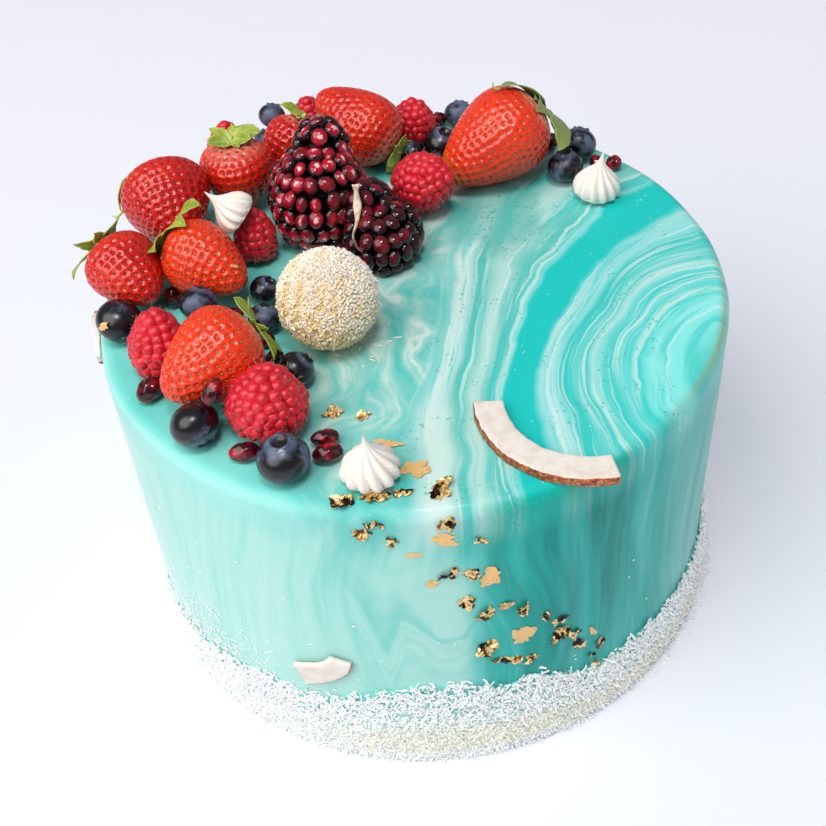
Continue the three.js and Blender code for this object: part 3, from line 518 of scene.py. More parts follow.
class Finish:
    """One procedural material under construction, its places read in millimetres."""

    def __init__(self, name, **sockets):
        self.material = bpy.data.materials.new(name)
        self.material.use_nodes = True
        self.tree = self.material.node_tree
        self.shader = self.tree.nodes["Principled BSDF"]
        place = self.tree.nodes.new("ShaderNodeTexCoord")
        self.place = self.mapped(place.outputs["Object"], (1 / MM, 1 / MM, 1 / MM))
        for socket, value in sockets.items():
            self.set(self.shader, socket.replace("_", " "), value)

    def set(self, node, socket, value):
        """Joins a socket, by name or number, to a node or a socket, or gives it a number or a colour."""
        target = node.inputs[socket]
        if isinstance(value, bpy.types.Node):
            value = value.outputs[0]
        if isinstance(value, bpy.types.NodeSocket):
            self.tree.links.new(value, target)
        else:
            target.default_value = linear(value) if isinstance(value, str) else value

    def node(self, kind, settings=None, numbered=(), **named):
        """A new node with its settings and with its sockets filled, in order and by name."""
        made = self.tree.nodes.new(kind)
        for name, value in (settings or {}).items():
            setattr(made, name, value)
        for socket, value in [*enumerate(numbered), *named.items()]:
            self.set(made, socket, value)
        return made

    def attribute(self, name, output="Fac"):
        """What the shape carries at each point under a name."""
        return self.node("ShaderNodeAttribute", {"attribute_name": name}).outputs[output]

    def split(self, vector):
        """The three parts of a vector."""
        return self.node("ShaderNodeSeparateXYZ", Vector=vector).outputs

    def flow(self):
        """The three values that the shape carries at each point."""
        return self.split(self.attribute("flow", "Vector"))

    def mapped(self, vector, scale, turn=(0, 0, 0)):
        """A vector scaled, then turned."""
        return self.node("ShaderNodeMapping", Vector=vector, Scale=scale, Rotation=turn)

    def noise(self, scale, detail=3.0, rough=0.55, at=None, distort=0.0):
        """Smooth noise of the place, from 0 to 1, with this many waves to the millimetre."""
        return self.node("ShaderNodeTexNoise", Vector=at or self.place, Scale=scale, Detail=detail,
                         Roughness=rough, Distortion=distort).outputs["Fac"]

    def warped(self, pitch, reach):
        """The place pushed to and fro by noise."""
        push = self.node("ShaderNodeTexNoise", Vector=self.place, Scale=pitch, Detail=2.0).outputs["Color"]
        inputs = (push, (reach, reach, reach), self.place)
        return self.node("ShaderNodeVectorMath", {"operation": "MULTIPLY_ADD"}, inputs).outputs[0]

    def cells(self, scale, near, far):
        """Dots, full within one distance of the middle of each cell and gone at another."""
        dots = self.node("ShaderNodeTexVoronoi", Vector=self.place, Scale=scale).outputs["Distance"]
        return self.step(dots, near, far, 1, 0)

    def sum(self, operation, first, second=0.0, third=0.0):
        """Up to three numbers joined by an operation."""
        return self.node("ShaderNodeMath", {"operation": operation}, (first, second, third)).outputs[0]

    def plus(self, first, second):
        """The first plus the second."""
        return self.sum("ADD", first, second)

    def times(self, first, second):
        """The first times the second."""
        return self.sum("MULTIPLY", first, second)

    def apart(self, value, middle):
        """How far a value is from a middle one."""
        return self.sum("ABSOLUTE", self.sum("SUBTRACT", value, middle))

    def swing(self, value, spread):
        """A value from 0 to 1 as one from minus half of a spread to plus half."""
        return self.sum("MULTIPLY_ADD", value, spread, -spread / 2)

    def tone(self, spread, *noise):
        """The shape's own shade, moved up and down by noise."""
        return self.plus(self.attribute("shade"), self.swing(self.noise(*noise), spread))

    def step(self, value, low, high, to_low=0.0, to_high=1.0):
        """A smooth step between two numbers as a value goes from low to high."""
        inputs = (value, low, high, to_low, to_high)
        return self.node("ShaderNodeMapRange", {"interpolation_type": "SMOOTHSTEP"}, inputs).outputs[0]

    def ramp(self, value, stops):
        """A colour read between stops, each a value and its colour."""
        made = self.node("ShaderNodeValToRGB", Fac=value)
        elements = made.color_ramp.elements
        while len(elements) < len(stops):
            elements.new(0.5)
        for element, (place, colour) in zip(elements, stops):
            element.position = place
            element.color = linear(colour)
        return made.outputs["Color"]

    def mix(self, share, first, second):
        """A colour this share of the way from the first to the second."""
        made = self.node("ShaderNodeMix", {"data_type": "RGBA"})
        for socket, value in zip(MIX_SOCKETS, (share, first, second)):
            self.set(made, socket, value)
        return made.outputs[2]

    def bump(self, height, distance, strength=1.0):
        """Shades the surface as if it rose by a distance in millimetres where the height is 1."""
        made = self.node("ShaderNodeBump", Height=height, Distance=distance * MM, Strength=strength)
        self.set(self.shader, "Normal", made.outputs["Normal"])

    def colour(self, value):
        """Gives the shader its colour."""
        self.set(self.shader, "Base Color", value)


# Settings a user would change


def tint(name, description, code):
    """A colour that a user can change, given as six hex digits."""
    return bpy.props.FloatVectorProperty(
        name=name, description=description, subtype="COLOR", size=4, min=0, max=1, default=linear(code)
    )


def amount(name, description, default, low, high):
    """A plain number that a user can change."""
    return bpy.props.FloatProperty(name=name, description=description, default=default, min=low, max=high)


def size(name, description, millimetres):
    """A length that a user can change, kept in metres."""
    return bpy.props.FloatProperty(
        name=name, description=description, default=millimetres * MM, min=0, subtype="DISTANCE", unit="LENGTH"
    )


def count(name, description, default):
    """A whole number that a user can change."""
    return bpy.props.IntProperty(name=name, description=description, default=default, min=0)


class GlazeSettings(bpy.types.PropertyGroup):
    turquoise: tint("Turquoise", "The main colour of the glaze", "26C4BC")
    emerald: tint("Emerald", "The deep colour where the glaze gathers at the rim", "12A893")
    milk: tint("Milk", "The pale threads of the marbling", "BFE0DB")
    cream: tint("Cream", "The warm white patch at the front", "C9E2D9")
    wave: size("Unevenness", "How far the poured surface wanders from true", 0.25)


class LeafSettings(bpy.types.PropertyGroup):
    bright: tint("Bright gold", "Gold leaf where it faces the light", "E9B04A")
    copper: tint("Copper", "Thin flat flakes over the glaze", "EDC07C")
    thickness: size("Thickness", "Thickness of a flake", 0.12)


class CoconutSettings(bpy.types.PropertyGroup):
    white: tint("White", "Fresh shreds", "FAFFFD")
    cream: tint("Cream", "Shreds deeper in the border", "F7F8EC")
    rind: tint("Rind", "The brown skin of a coconut slice", "8C4420")
    shreds: count("Shreds", "How many shreds the border has", 36000)
    length: size("Length", "Usual length of a shred", 1.75)
    spill: count("Spilt shreds", "How many shreds lie round the foot and above the border", 1400)


class FruitSettings(bpy.types.PropertyGroup):
    strawberry: tint("Strawberry", "Ripe skin", "C4060E")
    strawberry_light: tint("Light strawberry", "Skin less ripe, towards orange", "EE3A12")
    shoulder: tint("Shoulder", "Pale skin under the calyx", "F2B49A")
    seed: tint("Seed", "Seeds of the strawberries", "BC7A2C")
    leaf: tint("Leaf", "Calyx leaves", "A3B23A")
    raspberry: tint("Raspberry", "Drupelets", "C6061C")
    blueberry: tint("Blueberry", "Skin under the bloom", "0B0B12")
    bloom: tint("Bloom", "Waxy bloom", "5F6C88")
    aril: tint("Aril", "Pomegranate arils where light comes through", "C4102C")
    membrane: tint("Membrane", "Skin between the arils", "E9C9A8")


class SweetSettings(bpy.types.PropertyGroup):
    meringue: tint("Meringue", "Piped meringue", "F0E5D5")
    biscuit: tint("Biscuit", "The truffle under its shreds", "FBE8C2")
    truffle_shreds: count("Shreds", "How many shreds coat the truffle", 19000)


class StageSettings(bpy.types.PropertyGroup):
    floor: tint("Floor", "The plain floor", "EDEEF6")
    sky: tint("Surround", "The light all round", "F0F1FA")
    key: amount("Key light", "Power of the large soft light", 95.0, 0, 1000)
    fill: amount("Surround light", "Strength of the light all round", 0.3, 0, 10)


GROUPS = {
    "glaze": GlazeSettings,
    "leaf": LeafSettings,
    "coconut": CoconutSettings,
    "fruit": FruitSettings,
    "sweet": SweetSettings,
    "stage": StageSettings,
}


class CakeSettings(bpy.types.PropertyGroup):
    glaze: bpy.props.PointerProperty(type=GlazeSettings)
    leaf: bpy.props.PointerProperty(type=LeafSettings)
    coconut: bpy.props.PointerProperty(type=CoconutSettings)
    fruit: bpy.props.PointerProperty(type=FruitSettings)
    sweet: bpy.props.PointerProperty(type=SweetSettings)
    stage: bpy.props.PointerProperty(type=StageSettings)


# The glazed body

# How many points the body has round it, and how many rings over its top, its rim and its side
GLAZE_COLUMNS = 384
TOP_RINGS = 56
RIM_RINGS = 12
SIDE_RINGS = 44

# How far the marbling may miss its named points, to stay smooth
PLATE_SLACK = 60

# In degrees round, the middle and the half width of where the streaks slant most and of the dull green line
# along the rim
SLANT = (-125, 22)
RIM_LINE = (-24, 28)


def marble_level(x, y):
    """The marbling's level at each place: a thin plate, which is r squared times log r squared from every
    named point plus a slope, fitted to the points of each level."""
    at = np.array([place for _, places in MARBLE_LEVELS for place in places], float)
    level = np.concatenate([[value] * len(places) for value, places in MARBLE_LEVELS])

    def plate(first):
        """r squared times log r squared, from each place to every named point."""
        gap = ((first[:, None] - at[None]) ** 2).sum(-1)
        return gap * np.log(gap + 1e-9)

    flat = np.hstack([np.ones((len(at), 1)), at])
    table = np.block([[plate(at) + PLATE_SLACK * np.eye(len(at)), flat], [flat.T, np.zeros((3, 3))]])
    weight = np.linalg.solve(table, np.concatenate([level, np.zeros(3)]))
    places = np.stack([x.ravel(), y.ravel()], -1)
    values = plate(places) @ weight[:-3] + np.hstack([np.ones((len(places), 1)), places]) @ weight[-3:]
    return values.reshape(x.shape)


def glaze_profile():
    """The half section from the middle of the top, over the rounded rim, down the side and under the foot."""
    top = np.linspace(0, 1, TOP_RINGS + 1)[1:] ** 0.8 * (CAKE_RADIUS - RIM_ROUNDING)
    bend = np.linspace(0, np.pi / 2, RIM_RINGS + 1)[1:]
    down = np.linspace(CAKE_HEIGHT - RIM_ROUNDING, 1.2, SIDE_RINGS + 1)[1:]
    radius = np.concatenate([
        top, CAKE_RADIUS - RIM_ROUNDING * (1 - np.sin(bend)), np.full(SIDE_RINGS, CAKE_RADIUS), [89, 60, 20]])
    height = np.concatenate([
        np.full(TOP_RINGS, CAKE_HEIGHT), CAKE_HEIGHT - RIM_ROUNDING * (1 - np.cos(bend)), down, [0, 0, 0]])
    return radius, height


def side_patterns(radius, angle, height, points):
    """What the side's finish reads at each point: the place turned by a slant and a wander that grow as the
    glaze runs down, then the height over the fold's edge, where the fold shows and where the rim has its dull
    green line."""
    around = wrapped(angle)
    run = np.maximum(CAKE_HEIGHT - height, 0)
    slant = 0.16 * np.exp(-(((around - SLANT[0]) / SLANT[1]) ** 2))
    wander = 3.0 * waves(points * np.array([1, 1, 0.8]), 60, 21, 1)
    streak = round_points(radius, angle + (slant * run + wander * between(run, 0, 30)) / CAKE_RADIUS, height)
    fold = height - looked_up(around, FOLD_EDGE)
    fold = np.where(fold > 0, fold / looked_up(around, FOLD_EDGE, 2), fold / 22)
    window = between(around, -108, -100) * between(around, -82.5, -86.5)
    window = window * between(height, 26, 36) * between(height, 96, 82)
    rim_line = between(np.abs(around - RIM_LINE[0]), RIM_LINE[1], 0) * (height > 105)
    rim_line = rim_line * np.exp(-(((radius - 88.6) / 0.9) ** 2))
    return streak, np.stack([fold, window, rim_line], -1)


def glaze_shape(wave):
    """A profile turned about the upright axis. Slow waves move the side in and out and the top up and down.

    The flow holds the marbling's level, the way run down from the rim and how pale the side is."""
    radius, height = glaze_profile()
    angle = np.arange(GLAZE_COLUMNS) / GLAZE_COLUMNS * TURN
    radius, height, angle = np.broadcast_arrays(radius[:, None], height[:, None], angle[None])
    swell = wave * waves(round_points(radius, angle, height) * np.array([1, 1, 0.35]), 46, 3, 2)
    on_side = between(radius, 70, CAKE_RADIUS) * between(height, 0, 12)
    on_top = between(height, 100, CAKE_HEIGHT)
    points = round_points(radius - (0.2 - swell) * on_side, angle, height + 0.5 * (swell - 0.15) * on_top)
    streak, folds = side_patterns(radius, angle, height, points)
    inner = np.minimum(radius, CAKE_RADIUS - RIM_ROUNDING)
    level = marble_level(inner * np.cos(angle), inner * np.sin(angle)) / 100
    run = np.maximum(CAKE_HEIGHT - height, 0) / 100
    flow = np.stack([level, run, looked_up(wrapped(angle), SIDE_TONES)], -1)

    def closed(values, top, foot):
        return np.concatenate([values.reshape(-1, 3), [top, foot]])

    middle = marble_level(np.zeros(1), np.zeros(1))[0] / 100
    top, foot = (0, 0, CAKE_HEIGHT), (0, 0, 0)
    made = shape(closed(points, top, foot), ball_faces(len(radius), GLAZE_COLUMNS),
                 flow=closed(flow, (middle, 0, 0.5), (middle, 1, 0.5)))
    return made, {"streak": closed(streak, top, foot), "folds": closed(folds, foot, foot)}


# The bands of the marbling on top: the level of each and its colour
BANDS = [
    (-4, "8FB79E"), (-2, "5CC9BC"), (1, "7FE3DB"), (4, "8FE4DE"), (6, "3FCFC6"), (8.6, "6FD4CE"),
    (10.4, "40CAC1"), (13, "6CD2CC"), (15.6, "A4DBD5"), (17, "58CAC3"), (20.5, "6ACFC8"), (22, "40C6BE"),
    (24, "3AC3BB"), (25.6, "86D6D2"), (29, "98D9D6"), (30.4, "60CDC8"), (31.2, "20C2BA"), (38.1, "1EC2BA"),
    (39, "82D6D1"), (41, "50BFB6"), (42.6, "62C2B8"), (45.6, "B0D9D1"), (47.2, "94CFC7"), (48.8, "50BFB4"),
    (50.2, "5FBDB2"), (52, "ACD9D4"), (54.4, "CBE3DC"), (56, "86CFC8"), (60, "6FC6BF"), (64, "93CFC8"),
    (72, "6AC5BD"),
]
BANDS_FROM = BANDS[0][0]
BANDS_SPAN = BANDS[-1][0] - BANDS_FROM

# The middle of the plain turquoise band and of the white patch at the front, as levels over 100
PLAIN_BAND = 0.346
PATCH_BAND = 0.535

# The smoky wisps at the left, from the noise that draws them, and the plain glaze beyond them
WISPS = [
    (0.36, "4FC0B6"), (0.44, "70C7BE"), (0.50, "94D0C6"), (0.555, "C2E0D6"), (0.58, "CFE5DC"),
    (0.63, "98D2C8"), (0.72, "6CC4BB"),
]
PLAIN_GLAZE = [(0.35, "62CBC0"), (0.65, "82DACF")]

# The murky patch on the right: its middle and its half size, along X and along Y
MURKY_PATCH = [(27, 15), (28, 20)]

# The side from deep teal to nearly white, and how pale the fold is at each share of its way up
SIDE_COLOURS = [(0, "01877D"), (0.25, "24B2A7"), (0.5, "6CCCC0"), (0.75, "A8E0D4"), (1, "C2E6DC")]
FOLD_TONES = [
    (0, 0.74), (0.16, 0.68), (0.24, 0.77), (0.31, 0.69), (0.38, 0.8), (0.44, 0.7), (0.475, 0.78),
    (0.515, 0.63), (0.6, 0.58), (0.8, 0.66), (0.92, 0.74), (1, 0.78),
]


def marbled_top(look, level, colours):
    """Bands of colour by the marbling's level, combed into lines that follow it, with hooked wisps beyond
    the last band, a white patch at the front, and bubbles and small pale specks, painted glints, in the pale
    ones."""
    x, y, _ = look.split(look.place)
    wide, fine = look.swing(look.noise(0.045, 2), 0.04), look.swing(look.noise(0.2, 2, 0.5), 0.008)
    bent = look.plus(level, look.plus(wide, fine))

    def lines(across, place, scale, detail, distort=0.0):
        """Noise drawn out along the bands."""
        drawn = look.node("ShaderNodeCombineXYZ", X=look.times(place, across), Y=look.times(x, scale),
                          Z=look.times(y, scale))
        return look.noise(1.0, detail, 0.55 if distort else 0.5, drawn, distort)

    bands = look.ramp(look.sum("MULTIPLY_ADD", bent, 100 / BANDS_SPAN, -BANDS_FROM / BANDS_SPAN),
                      [((place - BANDS_FROM) / BANDS_SPAN, colour) for place, colour in BANDS])
    comb = lines(55, level, 0.022, 3, 0.1)
    loose = look.step(look.apart(bent, PLAIN_BAND), 0.036, 0.05)
    pale = look.times(look.step(comb, 0.53, 0.70), look.times(loose, 0.6))
    deep = look.times(look.step(comb, 0.47, 0.33), look.times(loose, 0.6))
    top = look.mix(deep, look.mix(pale, bands, colours.milk), colours.turquoise)
    threads = look.times(look.step(lines(90, bent, 0.016, 2), 0.55, 0.66, 0.0, 0.6), loose)
    top = look.mix(threads, top, "CFE9E4")

    drift = look.mapped(look.warped(0.035, 34), (0.066, 0.026, 0.03), (0, 0, 0.35))
    smoke = look.noise(1.0, 4, 0.58, drift, 0.5)
    beyond = look.step(x, -20, -38)
    left = look.mix(beyond, look.ramp(smoke, WISPS), look.ramp(look.noise(0.03, 2), PLAIN_GLAZE))
    top = look.mix(look.step(bent, 0.555, 0.60), top, left)
    patch = look.times(look.step(look.apart(bent, PATCH_BAND), 0.055, 0.01), look.step(y, -44, -66, 0, 0.75))
    top = look.mix(patch, top, colours.cream)

    oval = look.plus(*[look.sum("POWER", look.sum("MULTIPLY_ADD", axis, 1 / half, -middle / half), 2)
                       for axis, (middle, half) in zip((x, y), MURKY_PATCH)])
    murky = look.times(look.step(look.plus(oval, look.swing(look.noise(0.09, 3), 2.4)), 1.3, 0.5), loose)
    top = look.mix(look.times(murky, 0.62), top, "5CB2A6")
    bubbles = look.sum("MAXIMUM", look.cells(0.55, 0.12, 0.32), look.cells(0.3, 0.1, 0.22))
    crowd = look.times(look.sum("MAXIMUM", look.step(look.noise(0.09, 3), 0.5, 0.6, 0.05, 0.7), murky),
                       look.times(loose, look.step(bent, 0.62, 0.56)))
    top = look.mix(look.times(bubbles, crowd), top, "52B0A6")
    # Painted glints: small pale specks scattered over the top
    painted_glints = look.times(look.cells(0.5, 0.08, 0.2), look.step(look.noise(0.13, 2), 0.5, 0.62, 0.0, 0.35))
    return look.mix(painted_glints, top, "D6ECE8")


def poured_side(look, tone, fold, window):
    """Streaks down the side, paler or deeper than its tone there, with the fold over them in its window."""
    streak = look.attribute("streak", "Vector")
    coarse = look.noise(1, 2, 0.5, look.mapped(streak, (0.075, 0.075, 0.011)))
    thready = look.noise(1, 4, 0.6, look.mapped(streak, (0.26, 0.26, 0.02)))
    shade = look.plus(look.plus(tone, look.swing(coarse, 0.6)), look.swing(thready, 0.58))
    risen = look.sum("MULTIPLY_ADD", look.plus(fold, look.swing(look.noise(0.12, 3), 0.3)), 0.5, 0.5)
    folded = look.ramp(risen, [(place, (value, value, value, 1)) for place, value in FOLD_TONES])
    folded = look.plus(folded, look.swing(look.noise(0.2, 3), 0.2))
    shade = look.plus(shade, look.times(window, look.sum("SUBTRACT", folded, shade)))
    return look.ramp(shade, SIDE_COLOURS)


def glaze_finish(colours):
    """The marbled top, running into the streaked side just below the rim, which is emerald where the side
    is deep, pale where it is pale, partly from thin glaze and partly as a painted highlight, and dull green in
    a line at the right."""
    look = Finish("mirror_glaze", Roughness=0.3, Coat_Weight=0.05, Coat_Roughness=0.08,
                  Specular_IOR_Level=0.12)
    level, run, tone = look.flow()
    fold, window, rim_line = look.split(look.attribute("folds", "Vector"))
    side = poured_side(look, tone, fold, window)
    body = look.mix(look.step(run, 0.01, 0.17, 0, 0.93), marbled_top(look, level, colours), side)
    rim = look.times(look.step(run, 0.0, 0.02), look.step(run, 0.16, 0.03))
    body = look.mix(look.times(rim, look.step(tone, 0.3, 0.1, 0, 0.8)), body, colours.emerald)
    # Painted highlight, partly thin glaze: the rim goes pale where the side's tone is pale, round the left
    body = look.mix(look.times(rim, look.step(tone, 0.55, 0.8, 0, 0.5)), body, "BDEDE4")
    look.colour(look.mix(look.times(rim_line, 0.75), body, "9DA77E"))
    look.bump(look.noise(0.05, 1), 0.12, 0.4)
    return look.material


class MakeGlaze(bpy.types.Operator):
    """Pour the marbled mirror glaze over the body"""

    bl_idname = "coconut_cake.glaze"
    bl_label = "Glaze"

    def execute(self, context):
        sizes = context.scene.coconut_cake.glaze
        body, more = glaze_shape(sizes.wave / MM)
        new_piece(body, "glaze", [glaze_finish(sizes)], ["cake"], more=more)
        return {"FINISHED"}


# Gold leaf

# How many points a flake has each way, and the least angle between two of its faces that shows as an edge
FLAKE_ROWS = 13
FLAKE_SHARP = 35

# The tears round a flake: how many there are, and how deep a share of its width they go
FLAKE_TEARS = [(2, 0.2), (3, 0.15), (5, 0.13), (9, 0.1)]


def flake_shape(length, width, crumple, draw):
    """A square grid drawn in to a disc, its outline torn by sines of the angle, creased by slow waves."""
    u, v = np.meshgrid(np.linspace(-1, 1, FLAKE_ROWS), np.linspace(-1, 1, FLAKE_ROWS), indexing="ij")
    x, y = u * np.sqrt(1 - v * v / 2), v * np.sqrt(1 - u * u / 2)
    tears = sum(share * np.sin(turns * np.arctan2(y, x) + phase)
                for (turns, share), phase in zip(FLAKE_TEARS, draw.uniform(0, TURN, len(FLAKE_TEARS))))
    torn = 1 + np.hypot(x, y) * tears
    flat = np.stack([x * length / 2 * torn, y * width / 2 * torn, 0 * u], -1)
    crease = waves(flat, 3.6, int(draw.integers(1e6)), 1)
    lift = 0.25 + crumple * (0.7 * crease + 0.5 * np.abs(waves(flat, 2.6, int(draw.integers(1e6)), 1)))
    slide = crumple * 0.5 * np.stack([waves(flat, 2, 5), waves(flat, 2, 6)], -1)
    return np.concatenate([flat[..., :2] + slide, np.maximum(lift, 0.05)[..., None]], -1)


def gold_shapes(thickness):
    """Every flake, laid flat on the top, bent round the side, or laid on the fruit."""
    draw = drawing("gold")

    def leaf(length, width, crumple):
        return shell(flake_shape(length, width, crumple, draw), thickness, shade=crumple)

    made = []
    for x, y, length, width, turn, crumple in TOP_FLAKES:
        made.append(placed(leaf(length, width, crumple), (x, y, CAKE_HEIGHT), UP, math.radians(turn)))
    for around, height, length, width, turn, crumple in SIDE_FLAKES:
        out = round_points(1, math.radians(around), 0)
        along = np.cross(UP, out)
        flat = leaf(length, width, crumple)
        x, y, z = (flat.points @ turn_to(UP, math.radians(turn))[0].T).T[..., None]
        points = x * along + y * UP + (z - x ** 2 / (2 * CAKE_RADIUS)) * out
        made.append(flat._replace(points=points + out * (CAKE_RADIUS - 0.2) + UP * height))
    for x, y, height, facing, length, width, crumple in FRUIT_FLAKES:
        made.append(placed(leaf(length, width, crumple), above((x, y, height)), facing))
    return merged(made)


def gold_finish(colours):
    """Flat flakes are pale copper; crumpled ones go by noise from nearly black, a painted shade, through gold
    to pale gold, a painted highlight.
    """
    look = Finish("gold_leaf", Roughness=0.32)
    crumple = look.attribute("shade")
    # Painted shade and highlights: noise runs the crumpled leaf from near black through gold to pale gold
    bright = look.ramp(look.noise(0.3, 3), [(0.40, "120B04"), (0.455, "3A260C"), (0.48, colours.bright),
                                            (0.54, "FBEBBE"), (0.59, "DDA350"), (0.65, "5E3E16")])
    flat = look.mix(look.step(look.noise(0.9, 3), 0.62, 0.7, 0, 0.7), colours.copper, "8A6430")
    look.colour(look.mix(look.step(crumple, 0.3, 0.5), flat, bright))
    look.set(look.shader, "Metallic", look.step(crumple, 0.3, 0.5, 0.12, 0.55))
    look.bump(look.noise(0.9, 3, 0.6), 0.3, 0.7)
    return look.material


class MakeGold(bpy.types.Operator):
    """Lay torn flakes of gold leaf on the top, down the front and on two berries"""

    bl_idname = "coconut_cake.gold"
    bl_label = "Gold leaf"

    def execute(self, context):
        sizes = context.scene.coconut_cake.leaf
        flakes = gold_shapes(sizes.thickness / MM)
        new_piece(flakes, "gold_leaf", [gold_finish(sizes)], sharp=FLAKE_SHARP)
        return {"FINISHED"}


# Coconut round the foot

# How many points the heap under the shreds has round the cake and up its outside
BORDER_COLUMNS = 480
BORDER_ROWS = 14

# How white the shreds are at each share of the border's height, at the front. Elsewhere all are nearly white.
BORDER_WHITE = [(0, 0.95), (0.1, 0.75), (0.22, 0.3), (0.42, 0.4), (0.55, 0.85), (1, 1.0)]

# How widely the lengths of shreds are spread, and their least and greatest length, width and height
SHRED_SPREAD = 0.34
SHRED_LENGTH = (0.4, 3.4)
SHRED_WIDTH = (0.45, 1.0)
SHRED_HEIGHT = (0.2, 0.4)

# The least angle between two faces of a shred that shows as an edge
SHRED_SHARP = 40


def border_thickness(around, rise):
    """How far the heap stands out from the glaze, at degrees round and a share of its height."""
    loose = looked_up(around, BORDER_HEAP)
    return looked_up(rise, BORDER_THICKNESS) * (1 + (loose - 1) * np.clip(rise / 0.16, 0.2, 1))


def border_base():
    """A closed ring: out along the foot, up over the heaped shreds, and down the glaze."""
    angle = np.arange(BORDER_COLUMNS) / BORDER_COLUMNS * TURN
    around = wrapped(angle)
    height = looked_up(around, BORDER_EDGE)[None] - 1
    rise = np.linspace(0, 1, BORDER_ROWS)[:, None]
    thick = border_thickness(around[None], rise) * (0.85 - 0.8 * rise ** 2.5) - 0.2
    outer = round_points(CAKE_RADIUS + thick, angle + 0 * rise, rise * height + 0.05)
    outer += 0.25 * waves(outer, 3.5, 12)[..., None] * unit(outer * np.array([1, 1, 0]))
    inner = round_points(CAKE_RADIUS - 0.5, angle + np.zeros((2, 1)), np.array([[1.0], [0.05]]) * height)
    index = np.arange((BORDER_ROWS + 2) * BORDER_COLUMNS).reshape(-1, BORDER_COLUMNS)
    after, above_it = np.roll(index, -1, 1), np.roll(index, -1, 0)
    quads = np.stack([index, after, np.roll(after, -1, 0), above_it], -1).reshape(-1, 4)
    shade = np.append(rise, (1, 1)).repeat(BORDER_COLUMNS)
    return shape(np.concatenate([outer, inner]), quads, shade=shade)


def shred():
    """A bent three-sided sliver, 1 long by 1 wide by 1 thick before it is scaled, closed at its ends."""
    along = np.array([-0.5, 0.05, 0.5])[:, None]
    width = np.array([0.36, 0.5, 0.28])[:, None]
    bend = np.array([0.0, 0.14, -0.06])[:, None]
    side, rise = np.array([(-1, -0.45), (1, -0.45), (0.1, 0.55)]).T
    sections = np.stack(np.broadcast_arrays(along, width * side + bend, rise), -1)
    index = np.arange(9).reshape(3, 3)
    after = np.roll(index, -1, 1)
    quads = np.stack([index[:-1], index[1:], after[1:], after[:-1]], -1).reshape(-1, 4)
    return shape(sections, np.concatenate([quads, [[0, 1, 2, -1], [8, 7, 6, -1]]]))


def shred_turns(normal, draw, lean):
    """Each shred lies in the surface at a random turn, lifted out of it by a random lean."""
    side = unit(np.cross(normal, unit(draw.normal(size=normal.shape))))
    other = np.cross(normal, side)
    tilt = draw.normal(0, lean, len(normal))[:, None]
    along = unit(side * np.cos(tilt) + normal * np.sin(tilt))
    up = unit(np.cross(along, other))
    return np.stack([along, np.cross(up, along), up], -1)


def shred_sizes(draw, number, length):
    """Lengths by a bell curve of their logarithm, and even widths and heights."""
    long = length * np.exp(draw.normal(0, SHRED_SPREAD, number))
    return np.stack([np.clip(long, *SHRED_LENGTH), draw.uniform(*SHRED_WIDTH, number),
                     draw.uniform(*SHRED_HEIGHT, number)], -1)


def mostly(draw, number, share, middle, spread):
    """Angles of which a share lie about a middle one by a bell curve, and the rest anywhere."""
    return np.where(draw.random(number) < share, draw.normal(middle, spread, number),
                    draw.uniform(-np.pi, np.pi, number))


def border_shreds(number, length, draw):
    """Shreds over the heap, thinning out towards its upper edge, creamier low down at the front."""
    angle = draw.uniform(-np.pi, np.pi, number)
    around = np.degrees(angle)
    rise = draw.beta(0.9, 1.15, number)
    ragged = draw.normal(0, 1.1, number) + 1.4 * waves(round_points(CAKE_RADIUS, angle, 0), 6, 17, 2)
    height = 0.4 + rise * (looked_up(around, BORDER_EDGE) + ragged - 0.8)
    radius = CAKE_RADIUS + border_thickness(around, rise) * draw.uniform(0.6, 1.0, number) - 0.3 * rise
    normal = unit(round_points(1, angle, draw.normal(0.1, 0.35, number)))
    turns = shred_turns(normal, draw, 0.5)
    elsewhere = between(np.abs(around + 50), 42, 64)
    white = np.maximum(looked_up(rise, BORDER_WHITE), 0.82 * elsewhere)
    shade = np.clip(white + draw.normal(0, 0.13, number), 0, 1)
    sizes = shred_sizes(draw, number, length)
    return kept_above(copies(shred(), round_points(radius, angle, height), turns, sizes, shade), FLOOR_GAP)


def stray_shreds(number, draw):
    """Flecks thrown on the glaze above the border, most of them at the left, and shreds spilt on the floor,
    most of them at the right."""
    flecks = number * 2 // 5
    angle = mostly(draw, flecks, 0.93, np.radians(-146), 0.27)
    height = np.minimum(looked_up(wrapped(angle), BORDER_EDGE) + draw.exponential(9, flecks), 96)
    tiny = shred_sizes(draw, flecks, 0.75) * np.array([0.9, 0.9, 0.7])
    thrown = copies(shred(), round_points(CAKE_RADIUS + 0.05, angle, height),
                    shred_turns(round_points(1, angle, 0), draw, 0.1), tiny, draw.uniform(0.7, 1, flecks))
    rest = number - flecks
    angle = mostly(draw, rest, 0.6, np.radians(-5), 0.5)
    loose = looked_up(wrapped(angle), BORDER_HEAP) - 1
    reach = CAKE_RADIUS + 0.8 + np.abs(draw.normal(0, 0.5 + 2.2 * loose, rest))
    at = round_points(np.minimum(reach, 95.5), angle, draw.uniform(0.2, 0.9, rest))
    turns = shred_turns(np.tile(UP, (rest, 1)), draw, 0.2)
    spilt = copies(shred(), at, turns, shred_sizes(draw, rest, 1.4), draw.uniform(0.7, 1, rest))
    return merged([thrown, kept_above(spilt, FLOOR_GAP)])


def coconut_finish(colours):
    """White shreds, a little creamy where their shade is low."""
    look = Finish("desiccated_coconut", Roughness=0.6, Subsurface_Weight=0.25,
                  Subsurface_Radius=(0.8, 1.0, 0.9), Subsurface_Scale=0.0015, Specular_IOR_Level=0.3)
    tone = look.tone(0.5, 0.25, 3)
    look.colour(look.ramp(tone, [(0.0, "F0F2DE"), (0.35, colours.cream), (0.75, colours.white)]))
    look.bump(look.noise(2.2, 3), 0.1, 0.4)
    return look.material


